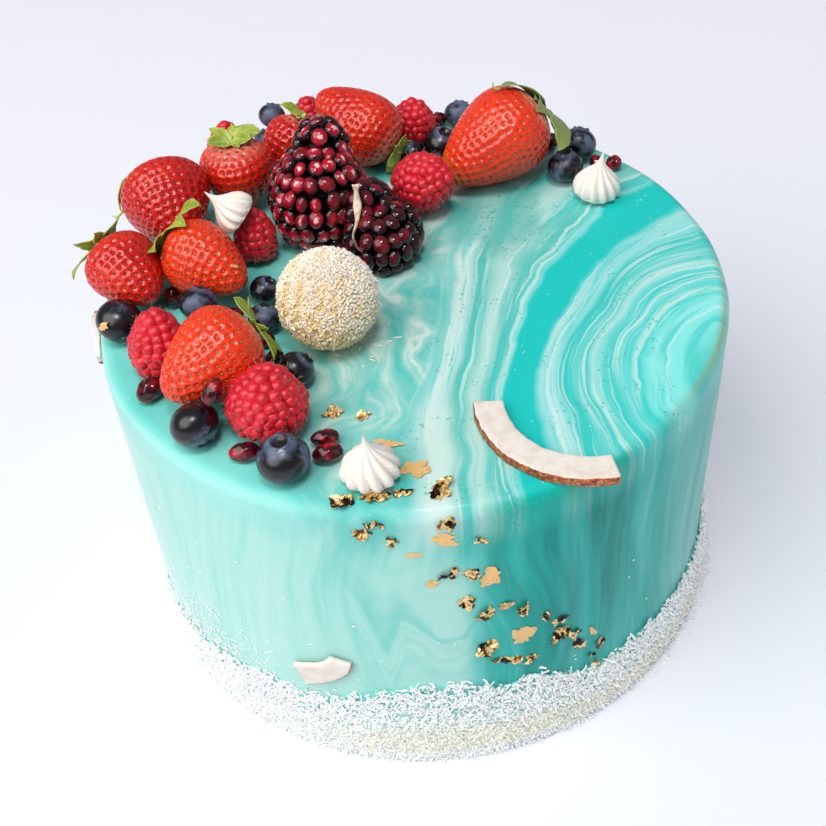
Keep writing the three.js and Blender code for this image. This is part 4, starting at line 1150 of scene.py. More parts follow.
def heap_finish():
    """Between the shreds: white at the foot, greenish cream, and the glaze's colour through the thin top."""
    look = Finish("coconut_heap", Roughness=0.8, Specular_IOR_Level=0.1)
    level = look.tone(0.4, 0.12, 3)
    look.colour(look.ramp(level, [(0.0, "F4F5EE"), (0.15, "ECF1DC"), (0.4, "E8F0DF"),
                                  (0.55, "BCE4DA"), (0.9, "7ECFC6")]))
    look.bump(look.noise(1.1, 4, 0.6), 0.5, 0.7)
    return look.material


class MakeBorder(bpy.types.Operator):
    """Heap desiccated coconut round the foot of the cake"""

    bl_idname = "coconut_cake.border"
    bl_label = "Coconut border"

    def execute(self, context):
        sizes = context.scene.coconut_cake.coconut
        finish = [coconut_finish(sizes)]
        draw = drawing("border")
        new_piece(border_base(), "border_heap", [heap_finish()], ["coconut_border"])
        for part in ("border_shreds_1", "border_shreds_2", "border_shreds_3"):
            shreds = border_shreds(sizes.shreds // 3, sizes.length / MM, draw)
            new_piece(shreds, part, finish, sharp=SHRED_SHARP)
        new_piece(stray_shreds(sizes.spill, draw), "border_spill", finish, sharp=SHRED_SHARP)
        return {"FINISHED"}


# Strawberries


# How far apart the seeds are, and from which length a sepal has a curled tip
SEED_SPACING = 2.55
LONG_SEPAL = 16


def strawberry_radius(width, down):
    """Half the width times the sine of pi by down to the power 0.64, to a power that falls to the tip."""
    rise = np.sin(np.pi * np.clip(down, 0, 1) ** 0.64)
    return width / 2 * np.clip(rise, 0, 1) ** (0.76 - 0.24 * down)


def seed_places(length, width, draw):
    """Rows an even way apart down the profile, each with its seeds an even way round."""
    down = np.linspace(0, 1, 400)
    walked = walk(strawberry_radius(width, down), length * down)
    rows = np.arange(1.2 * SEED_SPACING, walked[-1] - 0.3 * SEED_SPACING, 0.9 * SEED_SPACING)
    places = []
    for index, row in enumerate(rows):
        fraction = np.interp(row, walked, down)
        number = max(3, round(TURN * strawberry_radius(width, fraction) / SEED_SPACING))
        turn = staggered(index, number, 0.022, draw)
        places.append(np.stack([turn, fraction + draw.normal(0, 0.003, number)], -1))
    return np.concatenate(places).T


def strawberry_surface(berry, lean, angle, down):
    """The profile turned about its axis, swollen a little by cosines of twice and three times the angle."""
    lump = 1 + 0.03 * np.cos(2 * (angle - lean)) + 0.02 * np.cos(3 * angle + lean)
    return round_points(strawberry_radius(berry.width, down) * lump, angle, berry.length * (0.5 - down))


def strawberry_normal(berry, lean, angle, down):
    """Outwards, square to a small step round the surface and a small step down it."""
    step = 0.004
    across = strawberry_surface(berry, lean, angle + step, down)
    across -= strawberry_surface(berry, lean, angle - step, down)
    below = strawberry_surface(berry, lean, angle, np.minimum(down + step, 0.999))
    below -= strawberry_surface(berry, lean, angle, np.maximum(down - step, 0.001))
    return unit(np.cross(below, across))


def nearest_gap(points, places):
    """How far each point is from the nearest of some places."""
    points, places = points.reshape(-1, 3).astype(np.float32), places.astype(np.float32)
    square = (points ** 2).sum(1)[:, None] + (places ** 2).sum(1)[None] - 2 * points @ places.T
    return np.sqrt(np.maximum(square.min(1), 0))


def strawberry_body(berry, draw):
    """The profile turned about its axis, pressed in round every seed by a bell-shaped dimple, with its seeds.

    The flow holds how far each point is from a seed, how far down it lies and how pale the berry is."""
    lean = draw.uniform(0, TURN)
    turn, fraction = seed_places(berry.length, berry.width, draw)
    number = len(turn)
    seat = strawberry_surface(berry, lean, turn, fraction)

    def rule(down, angle):
        spaced = (1 - np.cos(np.pi * down)) / 2
        points = strawberry_surface(berry, lean, angle, spaced)
        normal = strawberry_normal(berry, lean, angle, np.clip(spaced, 0.002, 0.998))
        gap = nearest_gap(points, seat).reshape(down.shape)
        dimple = 0.52 * np.exp(-((gap / 0.86) ** 2.4)) - 0.12
        return points - normal * (dimple * (down > 0.001) * (down < 0.999))[..., None]

    skin = ball(150, 200, rule, shade=berry.tone)
    spaced = (1 - np.cos(np.pi * skin.flow[:, 1])) / 2
    gap = nearest_gap(strawberry_surface(berry, lean, skin.flow[:, 0], spaced), seat)
    skin = skin._replace(flow=np.stack([gap, spaced, np.full(len(spaced), berry.pale)], -1))
    normal = strawberry_normal(berry, lean, turn, fraction)
    towards = unit(strawberry_surface(berry, lean, turn, np.minimum(fraction + 0.02, 0.999)) - seat)
    side = np.cross(normal, towards)
    turns = np.stack([side, np.cross(normal, side), normal], -1)
    sized = np.stack([draw.uniform(0.26, 0.33, number), draw.uniform(0.44, 0.56, number),
                      np.full(number, 0.26)], -1)
    tone = np.clip(draw.normal(berry.tone, 0.15, number), 0, 1)
    return merged([skin, copies(ball(3, 6, round_ball, kind=1), seat - 0.34 * normal, turns, sized, tone)])


def sepal_shape(around, length, curl, berry, front, draw):
    """A leaf that follows the berry's outline down from the calyx, widest near its middle, cupped, its end
    lifted and its blade rolled to face the front."""
    s, t = np.meshgrid(np.linspace(0, 1, 14), np.linspace(-1, 1, 9), indexing="ij")
    down = np.linspace(0, 1, 300)
    reach, fall = strawberry_radius(berry.width, down), berry.length * (0.5 - down)
    walked = walk(reach, fall)
    place = 0.4 + length * s
    out, rise = np.interp(place, walked, reach), np.interp(place, walked, fall)
    run, drop = np.interp(place + 0.4, walked, reach) - out, np.interp(place + 0.4, walked, fall) - rise
    lean = unit(np.stack([-drop, run], -1))
    breadth = min(0.3 * length + 0.3, 4.4)
    wide = breadth * np.sin(np.pi * s ** 0.8) ** 0.75 * (1 - 0.3 * s) + 0.4 * (1 - s)
    across = wide * t * (1 + 0.10 * np.abs(t) * np.sin(24 * s + 3 * draw.random()))
    ripple = 0.3 * np.sin(5 * s + around) * s + 0.35 * t * np.sin(6 * s + 2 * around) * s
    roll = min(curl, 1.0) * math.sin(math.radians(around) - front)
    lift = 0.75 + (roll * across + abs(roll) * breadth * 0.7) * np.sqrt(s) + curl * s ** 2.2
    lift = lift + 0.16 * np.abs(across) * np.abs(t) - 0.2 * (1 - np.abs(t)) + ripple
    hug = across ** 2 / (2 * np.maximum(out, 4)) * (1 - 0.6 * np.clip(curl / 4, 0, 1))
    sway = draw.normal(0, 0.10) * length * s ** 2
    local = np.stack([out + lean[..., 0] * lift - 0.7 * hug, across + sway,
                      rise + lean[..., 1] * lift - 0.3 * hug], -1)
    flow = np.stack([s, t, np.full(s.shape, berry.pale)], -1)
    turn = turn_to(UP, math.radians(around))[0]
    return shell(local @ turn.T, 0.3, flow=flow, kind=2, shade=draw.random())


def calyx_shapes(berry, draw):
    """The sepals and a short stalk. A long sepal ends in a thin curled tip."""
    x, y, _ = turn_to(-np.array(berry.tip))[0].T @ FRONT
    made = [sepal_shape(*sepal, berry, math.atan2(y, x), draw) for sepal in berry.sepals]
    rise = np.linspace(0, 1, 7)[:, None]
    stalk = np.hstack([0.5 * rise ** 2, 0.3 * rise ** 2, berry.length / 2 - 0.5 + 2.6 * rise])
    made.append(tube(stalk, np.array([1.2, 0.8, 0.65, 0.6, 0.6, 0.55, 0.5]), 8, kind=2, shade=0.8))
    for leaf, (_, length, _) in zip(list(made), berry.sepals):
        if length > LONG_SEPAL:
            out = leaf.points[np.argmin(leaf.points[:, 2])]
            away = unit(out * np.array([1, 1, 0]))
            hook = out - 0.5 * away + 3.4 * rise * away - UP * 1.6 * np.sin(2.6 * rise)
            made.append(tube(hook, np.linspace(0.5, 0.22, 7), 8, kind=2, shade=0.3))
    return made


def strawberry_finish(colours):
    """Red, by the tone of the berry, with a pale shoulder, a light tip on the palest, and painted shade
    darkening the dimples round the seeds.
    """
    look = Finish("strawberry_skin", Roughness=0.17, Specular_IOR_Level=0.62, Subsurface_Weight=0.03,
                  Subsurface_Radius=(1.0, 0.15, 0.05), Subsurface_Scale=0.002)
    gap, down, pale = look.flow()
    tone = look.tone(1.1, 0.09, 3)
    skin = look.mix(look.step(tone, 0.0, 1.0), colours.strawberry, colours.strawberry_light)
    near = look.plus(down, look.swing(look.noise(0.3, 2), 0.08))
    shoulder = look.times(look.step(near, 0.02, 0.16, 1, 0), look.step(pale, 0.4, 0.9, 0.35, 0.9))
    skin = look.mix(shoulder, skin, colours.shoulder)
    tip = look.times(look.step(near, 0.84, 1.0), look.step(pale, 0.65, 0.7, 0, 0.5))
    skin = look.mix(tip, skin, "D9903A")
    # Painted shade: the skin is darkened towards each seed, in the hollow of its dimple
    look.colour(look.mix(look.step(gap, 0.3, 0.75, 0.7, 0), skin, "9C0A06"))
    look.bump(look.noise(1.6, 3), 0.05, 0.4)
    return look.material


def seed_finish(colours):
    """Seeds are dark red on a ripe berry and straw yellow on a lighter one."""
    look = Finish("strawberry_seeds", Roughness=0.35)
    tone = look.tone(0.4, 1.0, 2)
    look.colour(look.ramp(tone, [(0.2, "6E120A"), (0.5, "963C16"), (0.85, colours.seed)]))
    look.bump(look.noise(3, 2), 0.1, 0.5)
    return look.material


def leaf_finish(colours):
    """Green with a light vein, light edges and a light foot, and duller on the palest berries."""
    look = Finish("calyx_leaf", Roughness=0.45, Subsurface_Weight=0.1, Subsurface_Radius=(0.5, 1.0, 0.3),
                  Subsurface_Scale=0.001, Specular_IOR_Level=0.35)
    out, across, pale = look.flow()
    vein = look.step(look.sum("ABSOLUTE", across), 0.0, 0.16, 1, 0)
    body = look.mix(look.step(look.noise(0.35, 4), 0.35, 0.65), "7C9A26", colours.leaf)
    body = look.mix(look.step(out, 0.0, 0.5, 0.6, 0.0), body, "CDD47C")
    body = look.mix(look.times(vein, 0.4), body, "D3D890")
    edge = look.step(look.sum("ABSOLUTE", across), 0.72, 0.95, 0, 0.6)
    body = look.mix(edge, body, "C6CC72")
    look.colour(look.mix(look.step(pale, 0.6, 0.85, 0, 0.75), body, "7E8F58"))
    look.bump(look.noise(1.2, 4), 0.25, 0.6)
    return look.material


class MakeStrawberries(bpy.types.Operator):
    """Set the eight strawberries with their seeds and leaves"""

    bl_idname = "coconut_cake.strawberries"
    bl_label = "Strawberries"

    def execute(self, context):
        colours = context.scene.coconut_cake.fruit
        finish = [strawberry_finish(colours), seed_finish(colours), leaf_finish(colours)]

        def make(berry, number):
            draw = drawing("strawberry", number)
            whole = merged([strawberry_body(berry, draw)] + calyx_shapes(berry, draw))
            return placed(whole, above(berry.at), -np.array(berry.tip))

        new_pieces(STRAWBERRIES, "strawberry", "ripe", finish, make)
        return {"FINISHED"}


# Raspberries

# How far apart the drupelets are, and how much further each berry is turned than the one before it
DRUPELET_SPACING = 2.95
RASPBERRY_SPIN = 0.7


def raspberry_swell(along):
    """The radius at each share of the way from the apex, over the greatest: a sine to the power 0.8."""
    return np.sin(np.pi * (0.76 * np.clip(along, 0, 1)) ** 0.9) ** 0.8


def drupelet():
    """A small ball, a little narrower towards its outer end."""
    return ball(6, 10, lambda down, angle: round_points(
        np.sin(np.pi * down) * (0.9 + 0.12 * down), angle, np.cos(np.pi * down)))


def hair():
    """A fine three-sided tube that bends as it rises."""
    grow = np.linspace(0, 1, 5)[:, None]
    return tube(np.hstack([0.5 * grow ** 2, 0.25 * np.sin(3 * grow), 1.3 * grow]), 0.045, 3, kind=1)


def drupelet_places(length, width, draw):
    """Rows an even way apart down the profile, each with its drupelets an even way round."""
    along = np.linspace(0.02, 0.97, 300)
    walked = walk(width / 2 * raspberry_swell(along), length * along)
    places = []
    for index, row in enumerate(np.arange(0.35, walked[-1], 0.88 * DRUPELET_SPACING)):
        fraction = np.interp(row, walked, along)
        girth = TURN * max(width / 2 * raspberry_swell(fraction) - 0.9, 0.2)
        number = max(1, round(girth / DRUPELET_SPACING))
        places.append(np.stack([staggered(index, number, 0.05, draw), np.full(number, fraction)], -1))
    return np.concatenate(places).T


def raspberry_core(length, width):
    """What shows between the drupelets, with a hollow at its foot."""

    def rule(down, angle):
        inner = np.minimum(down / 0.88, 1)
        ring = np.maximum(width / 2 * raspberry_swell(inner) - 1.3, 0)
        ring = np.where((down < 0.001) | (down > 0.999), 0, ring)
        hollow = np.where(down > 0.999, 0.3 * length, 0)
        return round_points(ring, angle, (length - 2) * (0.5 - inner) + hollow)

    return ball(16, 24, rule, shade=0.1)


def raspberry_shape(length, width, draw):
    """Drupelets over a core, three in four of them with a hair."""
    turn, fraction = drupelet_places(length, width, draw)
    number = len(turn)
    step = 0.01
    swelling = raspberry_swell(fraction + step) - raspberry_swell(fraction - step)
    normal = unit(round_points(1, turn, np.clip(width / 2 * swelling / (2 * step * length), -4, 4)))
    at = round_points(width / 2 * raspberry_swell(fraction), turn, length * (0.5 - fraction))
    at = at - 1.5 * normal + draw.normal(0, 0.13, (number, 3))
    wide = draw.uniform(2.0, 2.3, number)
    sized = np.stack([wide, wide * draw.uniform(0.9, 1.05, number), draw.uniform(1.6, 1.85, number)], -1)
    turns = turn_to(normal, draw.uniform(0, TURN, number))
    drupelets = copies(drupelet(), at, turns, sized, draw.random(number))
    some = draw.random(number) < 0.75
    count = some.sum()
    tops = at[some] + normal[some] * sized[some, 2:3] * 0.95
    aim = unit(normal[some] + draw.normal(0, 0.35, (count, 3)))
    hairs = copies(hair(), tops, turn_to(aim, draw.uniform(0, TURN, count)), draw.uniform(0.7, 1.2, count))
    return merged([raspberry_core(length, width), drupelets, hairs])


def raspberry_finish(colours):
    """Each drupelet has its own red, lighter in soft patches."""
    look = Finish("raspberry_drupelets", Roughness=0.36, Sheen_Weight=0.08, Sheen_Roughness=0.4,
                  Subsurface_Weight=0.05, Subsurface_Radius=(1.0, 0.15, 0.15), Subsurface_Scale=0.0015,
                  Specular_IOR_Level=0.55)
    red = look.mix(look.step(look.attribute("shade"), 0.0, 1.0, 0.0, 0.6), colours.raspberry, "E01E34")
    look.colour(look.mix(look.step(look.noise(0.5, 3), 0.5, 0.8, 0, 0.3), red, "EC5A6A"))
    look.bump(look.noise(1.8, 3), 0.12, 0.5)
    return look.material


def hair_finish():
    """Straw to cream."""
    look = Finish("raspberry_hairs", Roughness=0.6)
    look.colour(look.mix(look.noise(0.8, 2), "D9A07A", "F2D9C0"))
    return look.material


class MakeRaspberries(bpy.types.Operator):
    """Set the seven raspberries"""

    bl_idname = "coconut_cake.raspberries"
    bl_label = "Raspberries"

    def execute(self, context):
        finish = [raspberry_finish(context.scene.coconut_cake.fruit), hair_finish()]

        def make(berry, number):
            at, apex, length, width = berry
            draw = drawing("raspberry", number)
            spin = RASPBERRY_SPIN * (number - 1)
            return placed(raspberry_shape(length, width, draw), above(at), apex, spin)

        new_pieces(RASPBERRIES, "raspberry", "ripe", finish, make)
        return {"FINISHED"}


# Blueberries

# How high a blueberry is for its width
FLATNESS = 0.86


def blueberry_shape(radius, bloom, draw):
    """A flattened ball; a five-lobed rim stands round the crown, and the middle of the crown is sunk."""
    start = draw.uniform(0, TURN)

    def rule(down, angle):
        polar = np.pi * down ** 1.25
        lobes = np.cos(5 * angle + start)
        rim = 0.095 * np.exp(-(((polar - 0.36 - 0.03 * lobes) / 0.08) ** 2)) * (1 + 0.4 * lobes)
        sunk = 0.20 * np.exp(-((polar / 0.29) ** 4))
        reach = radius * np.sin(polar) * (1 + rim + 0.02 * np.cos(2 * angle + start))
        return round_points(reach, angle, radius * FLATNESS * (np.cos(polar) * (1 + rim) - sunk))

    return ball(44, 40, rule, shade=bloom)


def blueberry_finish(colours):
    """Dark blue under patches of bloom, which dulls the shine, with a pale ring round a dark crown."""
    look = Finish("blueberry_skin", Roughness=0.36, Coat_Weight=0.15, Coat_Roughness=0.25,
                  Specular_IOR_Level=0.5)
    _, down, _ = look.flow()
    tone = look.plus(look.noise(0.16, 4, 0.6), look.swing(look.attribute("shade"), 0.36))
    bloom = look.step(tone, 0.46, 0.62, 0.0, 0.85)
    skin = look.mix(bloom, colours.blueberry, colours.bloom)
    ring = look.times(look.step(down, 0.15, 0.20), look.step(down, 0.34, 0.24))
    skin = look.mix(look.times(ring, 0.6), skin, colours.bloom)
    crown = look.step(down, 0.12, 0.18, 0.9, 0.0)
    look.colour(look.mix(crown, skin, "17100B"))
    look.set(look.shader, "Roughness", look.step(tone, 0.4, 0.62, 0.24, 0.6))
    look.bump(look.noise(2.5, 3), 0.06, 0.5)
    return look.material


class MakeBlueberries(bpy.types.Operator):
    """Set the blueberries with their crowns"""

    bl_idname = "coconut_cake.blueberries"
    bl_label = "Blueberries"

    def execute(self, context):
        finish = [blueberry_finish(context.scene.coconut_cake.fruit)]

        def make(berry, number):
            at, radius, crown, bloom = berry
            draw = drawing("blueberry", number)
            return placed(blueberry_shape(radius, bloom, draw), above(at), crown)

        new_pieces(BLUEBERRIES, "blueberry", "ripe", finish, make)
        return {"FINISHED"}


# Pomegranate

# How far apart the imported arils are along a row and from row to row, and how far they stand off the membrane
ARIL_SPACING = 4.2
ROW_SPACING = 4.8
MEMBRANE_ROOM = 1.9

# How many of the lobes have their arils painted lit, the others painted darker as shade, and how deep the pith
# lies under their arils
PAINTED_LIT_LOBES = 3
PITH_DEPTH = 2.6

# The way of the membrane down the valley between the lobes, above the glaze, and its half width along it
MEMBRANE = [
    (-13.4, 13.3, 25), (-13.6, 13.1, 21.5), (-13.6, 11, 18.5), (-14, 9, 15.5), (-15.8, 7.5, 11.5),
    (-14.7, 6.4, 8), (-10.9, 4.9, 5.5),
]
MEMBRANE_WIDTH = [(0, 1.1), (0.1, 0.4), (0.3, 1.2), (0.48, 0.5), (0.6, 0.22), (0.85, 0.25), (1, 0.7)]


def aril_shape(rings=10, columns=14, swell=1.9, blunt=0.4, facets=0.65):
    """A drop of length 1 and width 1 along X and 0.8 along Y, pressed into facets. A swell over 1 puts its
    widest part near its outer end."""

    def rule(down, angle):
        facet = TURN / 6
        corner = (angle + 0.4 * np.sin(TURN * down)) % facet - facet / 2
        flat = math.cos(facet / 2) / np.cos(corner)
        girth = 0.5 * np.sin(np.pi * down ** swell) ** blunt * (1.05 - facets + facets * flat)
        ring = np.where((down < 0.001) | (down > 0.999), 0, girth)
        return round_points(ring, angle, 0.5 - down) * np.array([1, 0.8, 1])

    return ball(rings, columns, rule)


def lobe_depth(place, lobe):
    """How far out a place lies from the middle of a lobe, whose surface is at 1."""
    at, half, lean = lobe
    return np.linalg.norm(leaning(-lean) @ (place - above(at)) / half)


def lobe_places(draw):
    """Rings of places over each lobe, leaving out what lies inside another lobe, too low or too close. With
    each place come the way out, the way down the lobe, and the lobe's number."""
    kept = []
    for which, (at, half, lean) in enumerate(LOBES):
        half, tilt = np.array(half), leaning(lean).T
        others = LOBES[:which] + LOBES[which + 1 :]
        girth = (half[0] + half[1]) / 2
        rows = round(np.pi * (girth + half[2]) / 2 / ROW_SPACING)
        for row in range(rows + 1):
            polar = np.pi * row / rows
            number = max(1, round(TURN * girth * math.sin(polar) / ARIL_SPACING))
            angle = TURN * (np.arange(number) + 0.5 * (row % 2) + 0.15 * draw.random(number)) / number
            facing = round_points(np.sin(polar), angle, np.cos(polar))
            along = round_points(np.cos(polar), angle, -np.sin(polar)) * half
            ring = facing * half @ tilt + above(at), unit(facing / half) @ tilt, along @ tilt
            for place, normal, way in zip(*ring):
                inside = any(lobe_depth(place, other) < 0.97 for other in others)
                close = any(np.linalg.norm(place - one[0]) < 0.7 * ARIL_SPACING for one in kept)
                if place[2] >= CAKE_HEIGHT + 2.2 and not inside and not close:
                    kept.append((place, normal, way, which))
    places, normals, ways, lobes = (np.array(values) for values in zip(*kept))
    return places, normals, unit(ways), lobes


def chunk_shape(draw):
    """Arils packed over the lobes, pith between them painted dark as shade, and the torn membrane along the
    valley.
    """
    at, normal, along, lobes = lobe_places(draw)
    line = curved(MEMBRANE, 48, 3) + UP * CAKE_HEIGHT
    clear = np.linalg.norm(at[:, None] - line[None], axis=-1).min(1) > MEMBRANE_ROOM
    at, normal, along, lobes = at[clear], normal[clear], along[clear], lobes[clear]
    number = len(at)
    wide = draw.uniform(5.0, 6.5, number)
    sized = np.stack([wide, wide * draw.uniform(0.9, 1.2, number), draw.uniform(6.4, 8.0, number)], -1)
    aim = unit(-normal + draw.normal(0, 0.16, normal.shape))
    first = unit(along + draw.normal(0, 0.25, along.shape))
    second = unit(np.cross(aim, first))
    turns = np.stack([np.cross(second, aim), second, aim], -1)
    # Painted light and shade: arils on the first lobes get high shade values, the rest low ones
    painted_lit = np.where(lobes < PAINTED_LIT_LOBES, draw.uniform(0.3, 1.0, number), draw.uniform(0.0, 0.4, number))
    made = [copies(aril_shape(), at - draw.uniform(0.9, 1.7, (number, 1)) * normal, turns, sized, painted_lit)]
    for centre, half, lean in LOBES:
        core = ball(18, 24, round_ball, kind=1, shade=0)
        points = core.points * (np.array(half) - PITH_DEPTH) @ leaning(lean).T + above(centre)
        made.append(core._replace(points=points))
    return merged([kept_above(merged(made), CAKE_HEIGHT - SINK), membrane_shape(line)])


def membrane_shape(line):
    """A thin torn ribbon along the membrane's way, reaching back from it between the arils."""
    width = looked_up(np.linspace(0, 1, len(line)), MEMBRANE_WIDTH)
    side = unit(np.array([1, 0.1, 0.25]) + 0.2 * np.stack([waves(line, 9, seed) for seed in (8, 9, 10)], -1))
    front = line[:, None] + side[:, None] * (width[:, None] * np.linspace(-1, 1, 6))[..., None]
    grid = np.concatenate([front, (line - 7.0 * FRONT)[:, None]], 1)
    grid = grid + (0.5 * waves(grid, 4, 15) - 0.7)[..., None] * FRONT
    return shell(grid, 0.5, kind=2, shade=0.7)


def aril_finish(colours, name, loose):
    """Painted nearly black at the sides, as shade where the arils crowd, with a painted glow of light through a
    red window at the outer end of each, dimmer where the aril is painted in shade, and the pale seed in the
    brightest, which also stands for a painted glint. A loose one is wine red all over, with painted glows in
    patches."""
    look = Finish(name, Roughness=0.06, Coat_Weight=0.6, Coat_Roughness=0.02,
                  Subsurface_Weight=0.03, Subsurface_Radius=(1.0, 0.1, 0.1), Subsurface_Scale=0.002,
                  Specular_IOR_Level=0.22)
    _, down, _ = look.flow()
    tone = look.tone(0.8, 0.35, 2)
    # Painted glow: light through the aril, at the outer end of a packed one and in patches of noise on a loose
    # one
    window = look.step(look.noise(0.3, 1), 0.44, 0.62, 0.3, 1.0) if loose else look.step(down, 0.74, 0.99)
    painted_glow = look.times(window, look.step(tone, 0.0, 0.9, 0.3, 1))
    # Painted shade: the darkest reds of a packed aril stand for the shade at its sides
    depths = ("160104", "3A030D", "780A1A") if loose else ("0C0103", "30040D", "860A1E")
    red = look.ramp(painted_glow, [*zip((0.0, 0.3, 0.65), depths), (1.0, colours.aril)])
    if not loose:
        # The pale seed, on the painted-lit arils only, also stands for a painted glint
        near = look.plus(down, look.swing(look.noise(0.7, 2), 0.14))
        seed = look.times(look.step(near, 0.96, 0.985), look.step(tone, 0.5, 0.7, 0, 0.85))
        red = look.mix(seed, red, "F8D2D6")
    look.colour(red)
    look.bump(look.noise(0.9, 2), 0.15, 0.3)
    return look.material


def pith_shade_finish():
    """Painted shade between the arils: dark red, deeper in patches."""
    look = Finish("pomegranate_pith_painted_shade", Roughness=0.5)
    look.colour(look.mix(look.noise(0.4, 3), "1E0106", "4A0A14"))
    return look.material


def membrane_finish(colours):
    """Cream, and stained wine red low down."""
    look = Finish("pomegranate_membrane", Roughness=0.45, Subsurface_Weight=0.3,
                  Subsurface_Radius=(1.0, 0.6, 0.4), Subsurface_Scale=0.001)
    _, _, height = look.split(look.place)
    pale = look.mix(look.step(look.noise(0.6, 4), 0.4, 0.7), colours.membrane, "F6E6D2")
    look.colour(look.mix(look.step(height, CAKE_HEIGHT + 8, CAKE_HEIGHT + 13), "8E4456", pale))
    look.bump(look.noise(1.5, 3), 0.2, 0.6)
    return look.material


class MakePomegranate(bpy.types.Operator):
    """Set the chunk of pomegranate and the loose arils"""

    bl_idname = "coconut_cake.pomegranate"
    bl_label = "Pomegranate"

    def execute(self, context):
        colours = context.scene.coconut_cake.fruit
        finish = [aril_finish(colours, "packed_aril", False), pith_shade_finish(), membrane_finish(colours)]
        wine = [aril_finish(colours, "loose_aril", True)]
        chunk = chunk_shape(drawing("pomegranate"))
        new_piece(chunk, "pomegranate_arils", finish, ["pomegranate_chunk"])

        def make(aril, number):
            at, point, length, width = aril
            one = aril_shape(18, 36, 0.92, 0.5, 1.05)
            one = one._replace(points=one.points * np.array([width * 1.05, width * 1.2, length]),
                               shade=one.shade * 0 + 0.35 + 0.05 * (number % 7))
            return placed(one, above(at), point, number - 1)

        new_pieces(ARILS, "aril", "ripe", wine, make)
        return {"FINISHED"}


# Sweets

# The truffle's side painted lit, where its shreds lie thicker and are painted paler, and how many shreds have
# fallen beside it
TRUFFLE_LIT_SIDE = (0.5, 0.25, 0.8)
FALLEN = 34

# The half outline of a kiss from its foot to its tip: shares of its radius, and of its height
KISS_REACH = [0, 0.55, 0.84, 0.98, 1.0, 0.95, 0.84, 0.68, 0.5, 0.33, 0.2, 0.12, 0.07, 0.035, 0]
KISS_RISE = [0, 0.0, 0.02, 0.09, 0.18, 0.29, 0.39, 0.48, 0.56, 0.64, 0.72, 0.8, 0.88, 0.95, 1]


def truffle_shape(shreds, draw):
    """A ball whose radius wanders, under shreds of coconut that are thicker on one side and painted paler
    there, as light.
    """

    def rule(down, angle):
        out = round_ball(down, angle)
        radius = TRUFFLE_RADIUS - 0.55 + 0.35 * waves(out * TRUFFLE_RADIUS, 5, 31)
        return out * radius[..., None]

    body = ball(40, 56, rule, kind=1)
    normal = unit(draw.normal(size=(shreds, 3)))
    patch = waves(normal * TRUFFLE_RADIUS, 5, 33)
    top = normal @ unit(TRUFFLE_LIT_SIDE)
    keep = draw.random(shreds) < np.clip(0.6 + 0.35 * patch + 0.42 * top, 0.25, 1)
    normal, patch, top = normal[keep], patch[keep], top[keep]
    number = len(normal)
    at = normal * (TRUFFLE_RADIUS - 0.2 + draw.normal(0, 0.22, number))[:, None]
    sized = shred_sizes(draw, number, 0.62) * np.array([1, 0.85, 1.3])
    # Painted light: the shreds' shade rises towards the lit side, and with random patches
    shade = np.clip(0.52 + 0.5 * top + 0.5 * patch + draw.normal(0, 0.2, number), 0.0, 1)
    whole = merged([body, copies(shred(), at, shred_turns(normal, draw, 0.5), sized, shade)])
    return whole._replace(points=whole.points + above(TRUFFLE_AT))


def fallen_shreds(draw):
    """Shreds fallen on the glaze beside the truffle, more of them to its right."""
    angle = mostly(draw, FALLEN, 0.7, -0.7, 0.55)
    reach = 7 + np.abs(draw.normal(0, 5.5, FALLEN))
    at = round_points(reach, angle, 0) + np.array([TRUFFLE_AT[0], TRUFFLE_AT[1], CAKE_HEIGHT + 0.15])
    sized = shred_sizes(draw, FALLEN, 1.3) * np.array([1, 0.6, 0.6])
    turns = shred_turns(np.tile(UP, (FALLEN, 1)), draw, 0.06)
    return copies(shred(), at, turns, sized, draw.uniform(0.6, 1, FALLEN))


def rolled_finish():
    """The truffle's coconut: gold where its shade is low and white where it is high. The shade holds random
    patches, partly crumb stain, and painted light towards one side.
    """
    look = Finish("truffle_shreds", Roughness=0.55, Specular_IOR_Level=0.35)
    tone = look.tone(0.5, 0.35, 3)
    look.colour(look.ramp(tone, [(0.0, "F4D8A0"), (0.3, "F8E2B6"), (0.6, "FDEFD9"), (0.9, "F5EDE0")]))
    return look.material


def biscuit_finish(colours):
    """A rough golden crumb."""
    look = Finish("truffle_crumb", Roughness=0.8)
    look.colour(look.mix(look.step(look.noise(0.7, 4), 0.35, 0.65), "F0D298", colours.biscuit))
    look.bump(look.noise(1.3, 5, 0.7), 0.6, 0.9)
    return look.material


class MakeTruffle(bpy.types.Operator):
    """Roll the truffle in coconut"""

    bl_idname = "coconut_cake.truffle"
    bl_label = "Coconut truffle"

    def execute(self, context):
        sweet = context.scene.coconut_cake.sweet
        finish = [rolled_finish(), biscuit_finish(sweet)]
        draw = drawing("truffle")
        truffle = rested(truffle_shape(sweet.truffle_shreds, draw))
        new_piece(truffle, "truffle_rolled", finish, ["coconut_truffle"], sharp=SHRED_SHARP)
        new_piece(fallen_shreds(draw), "truffle_crumbs", finish[:1], sharp=SHRED_SHARP)
        return {"FINISHED"}


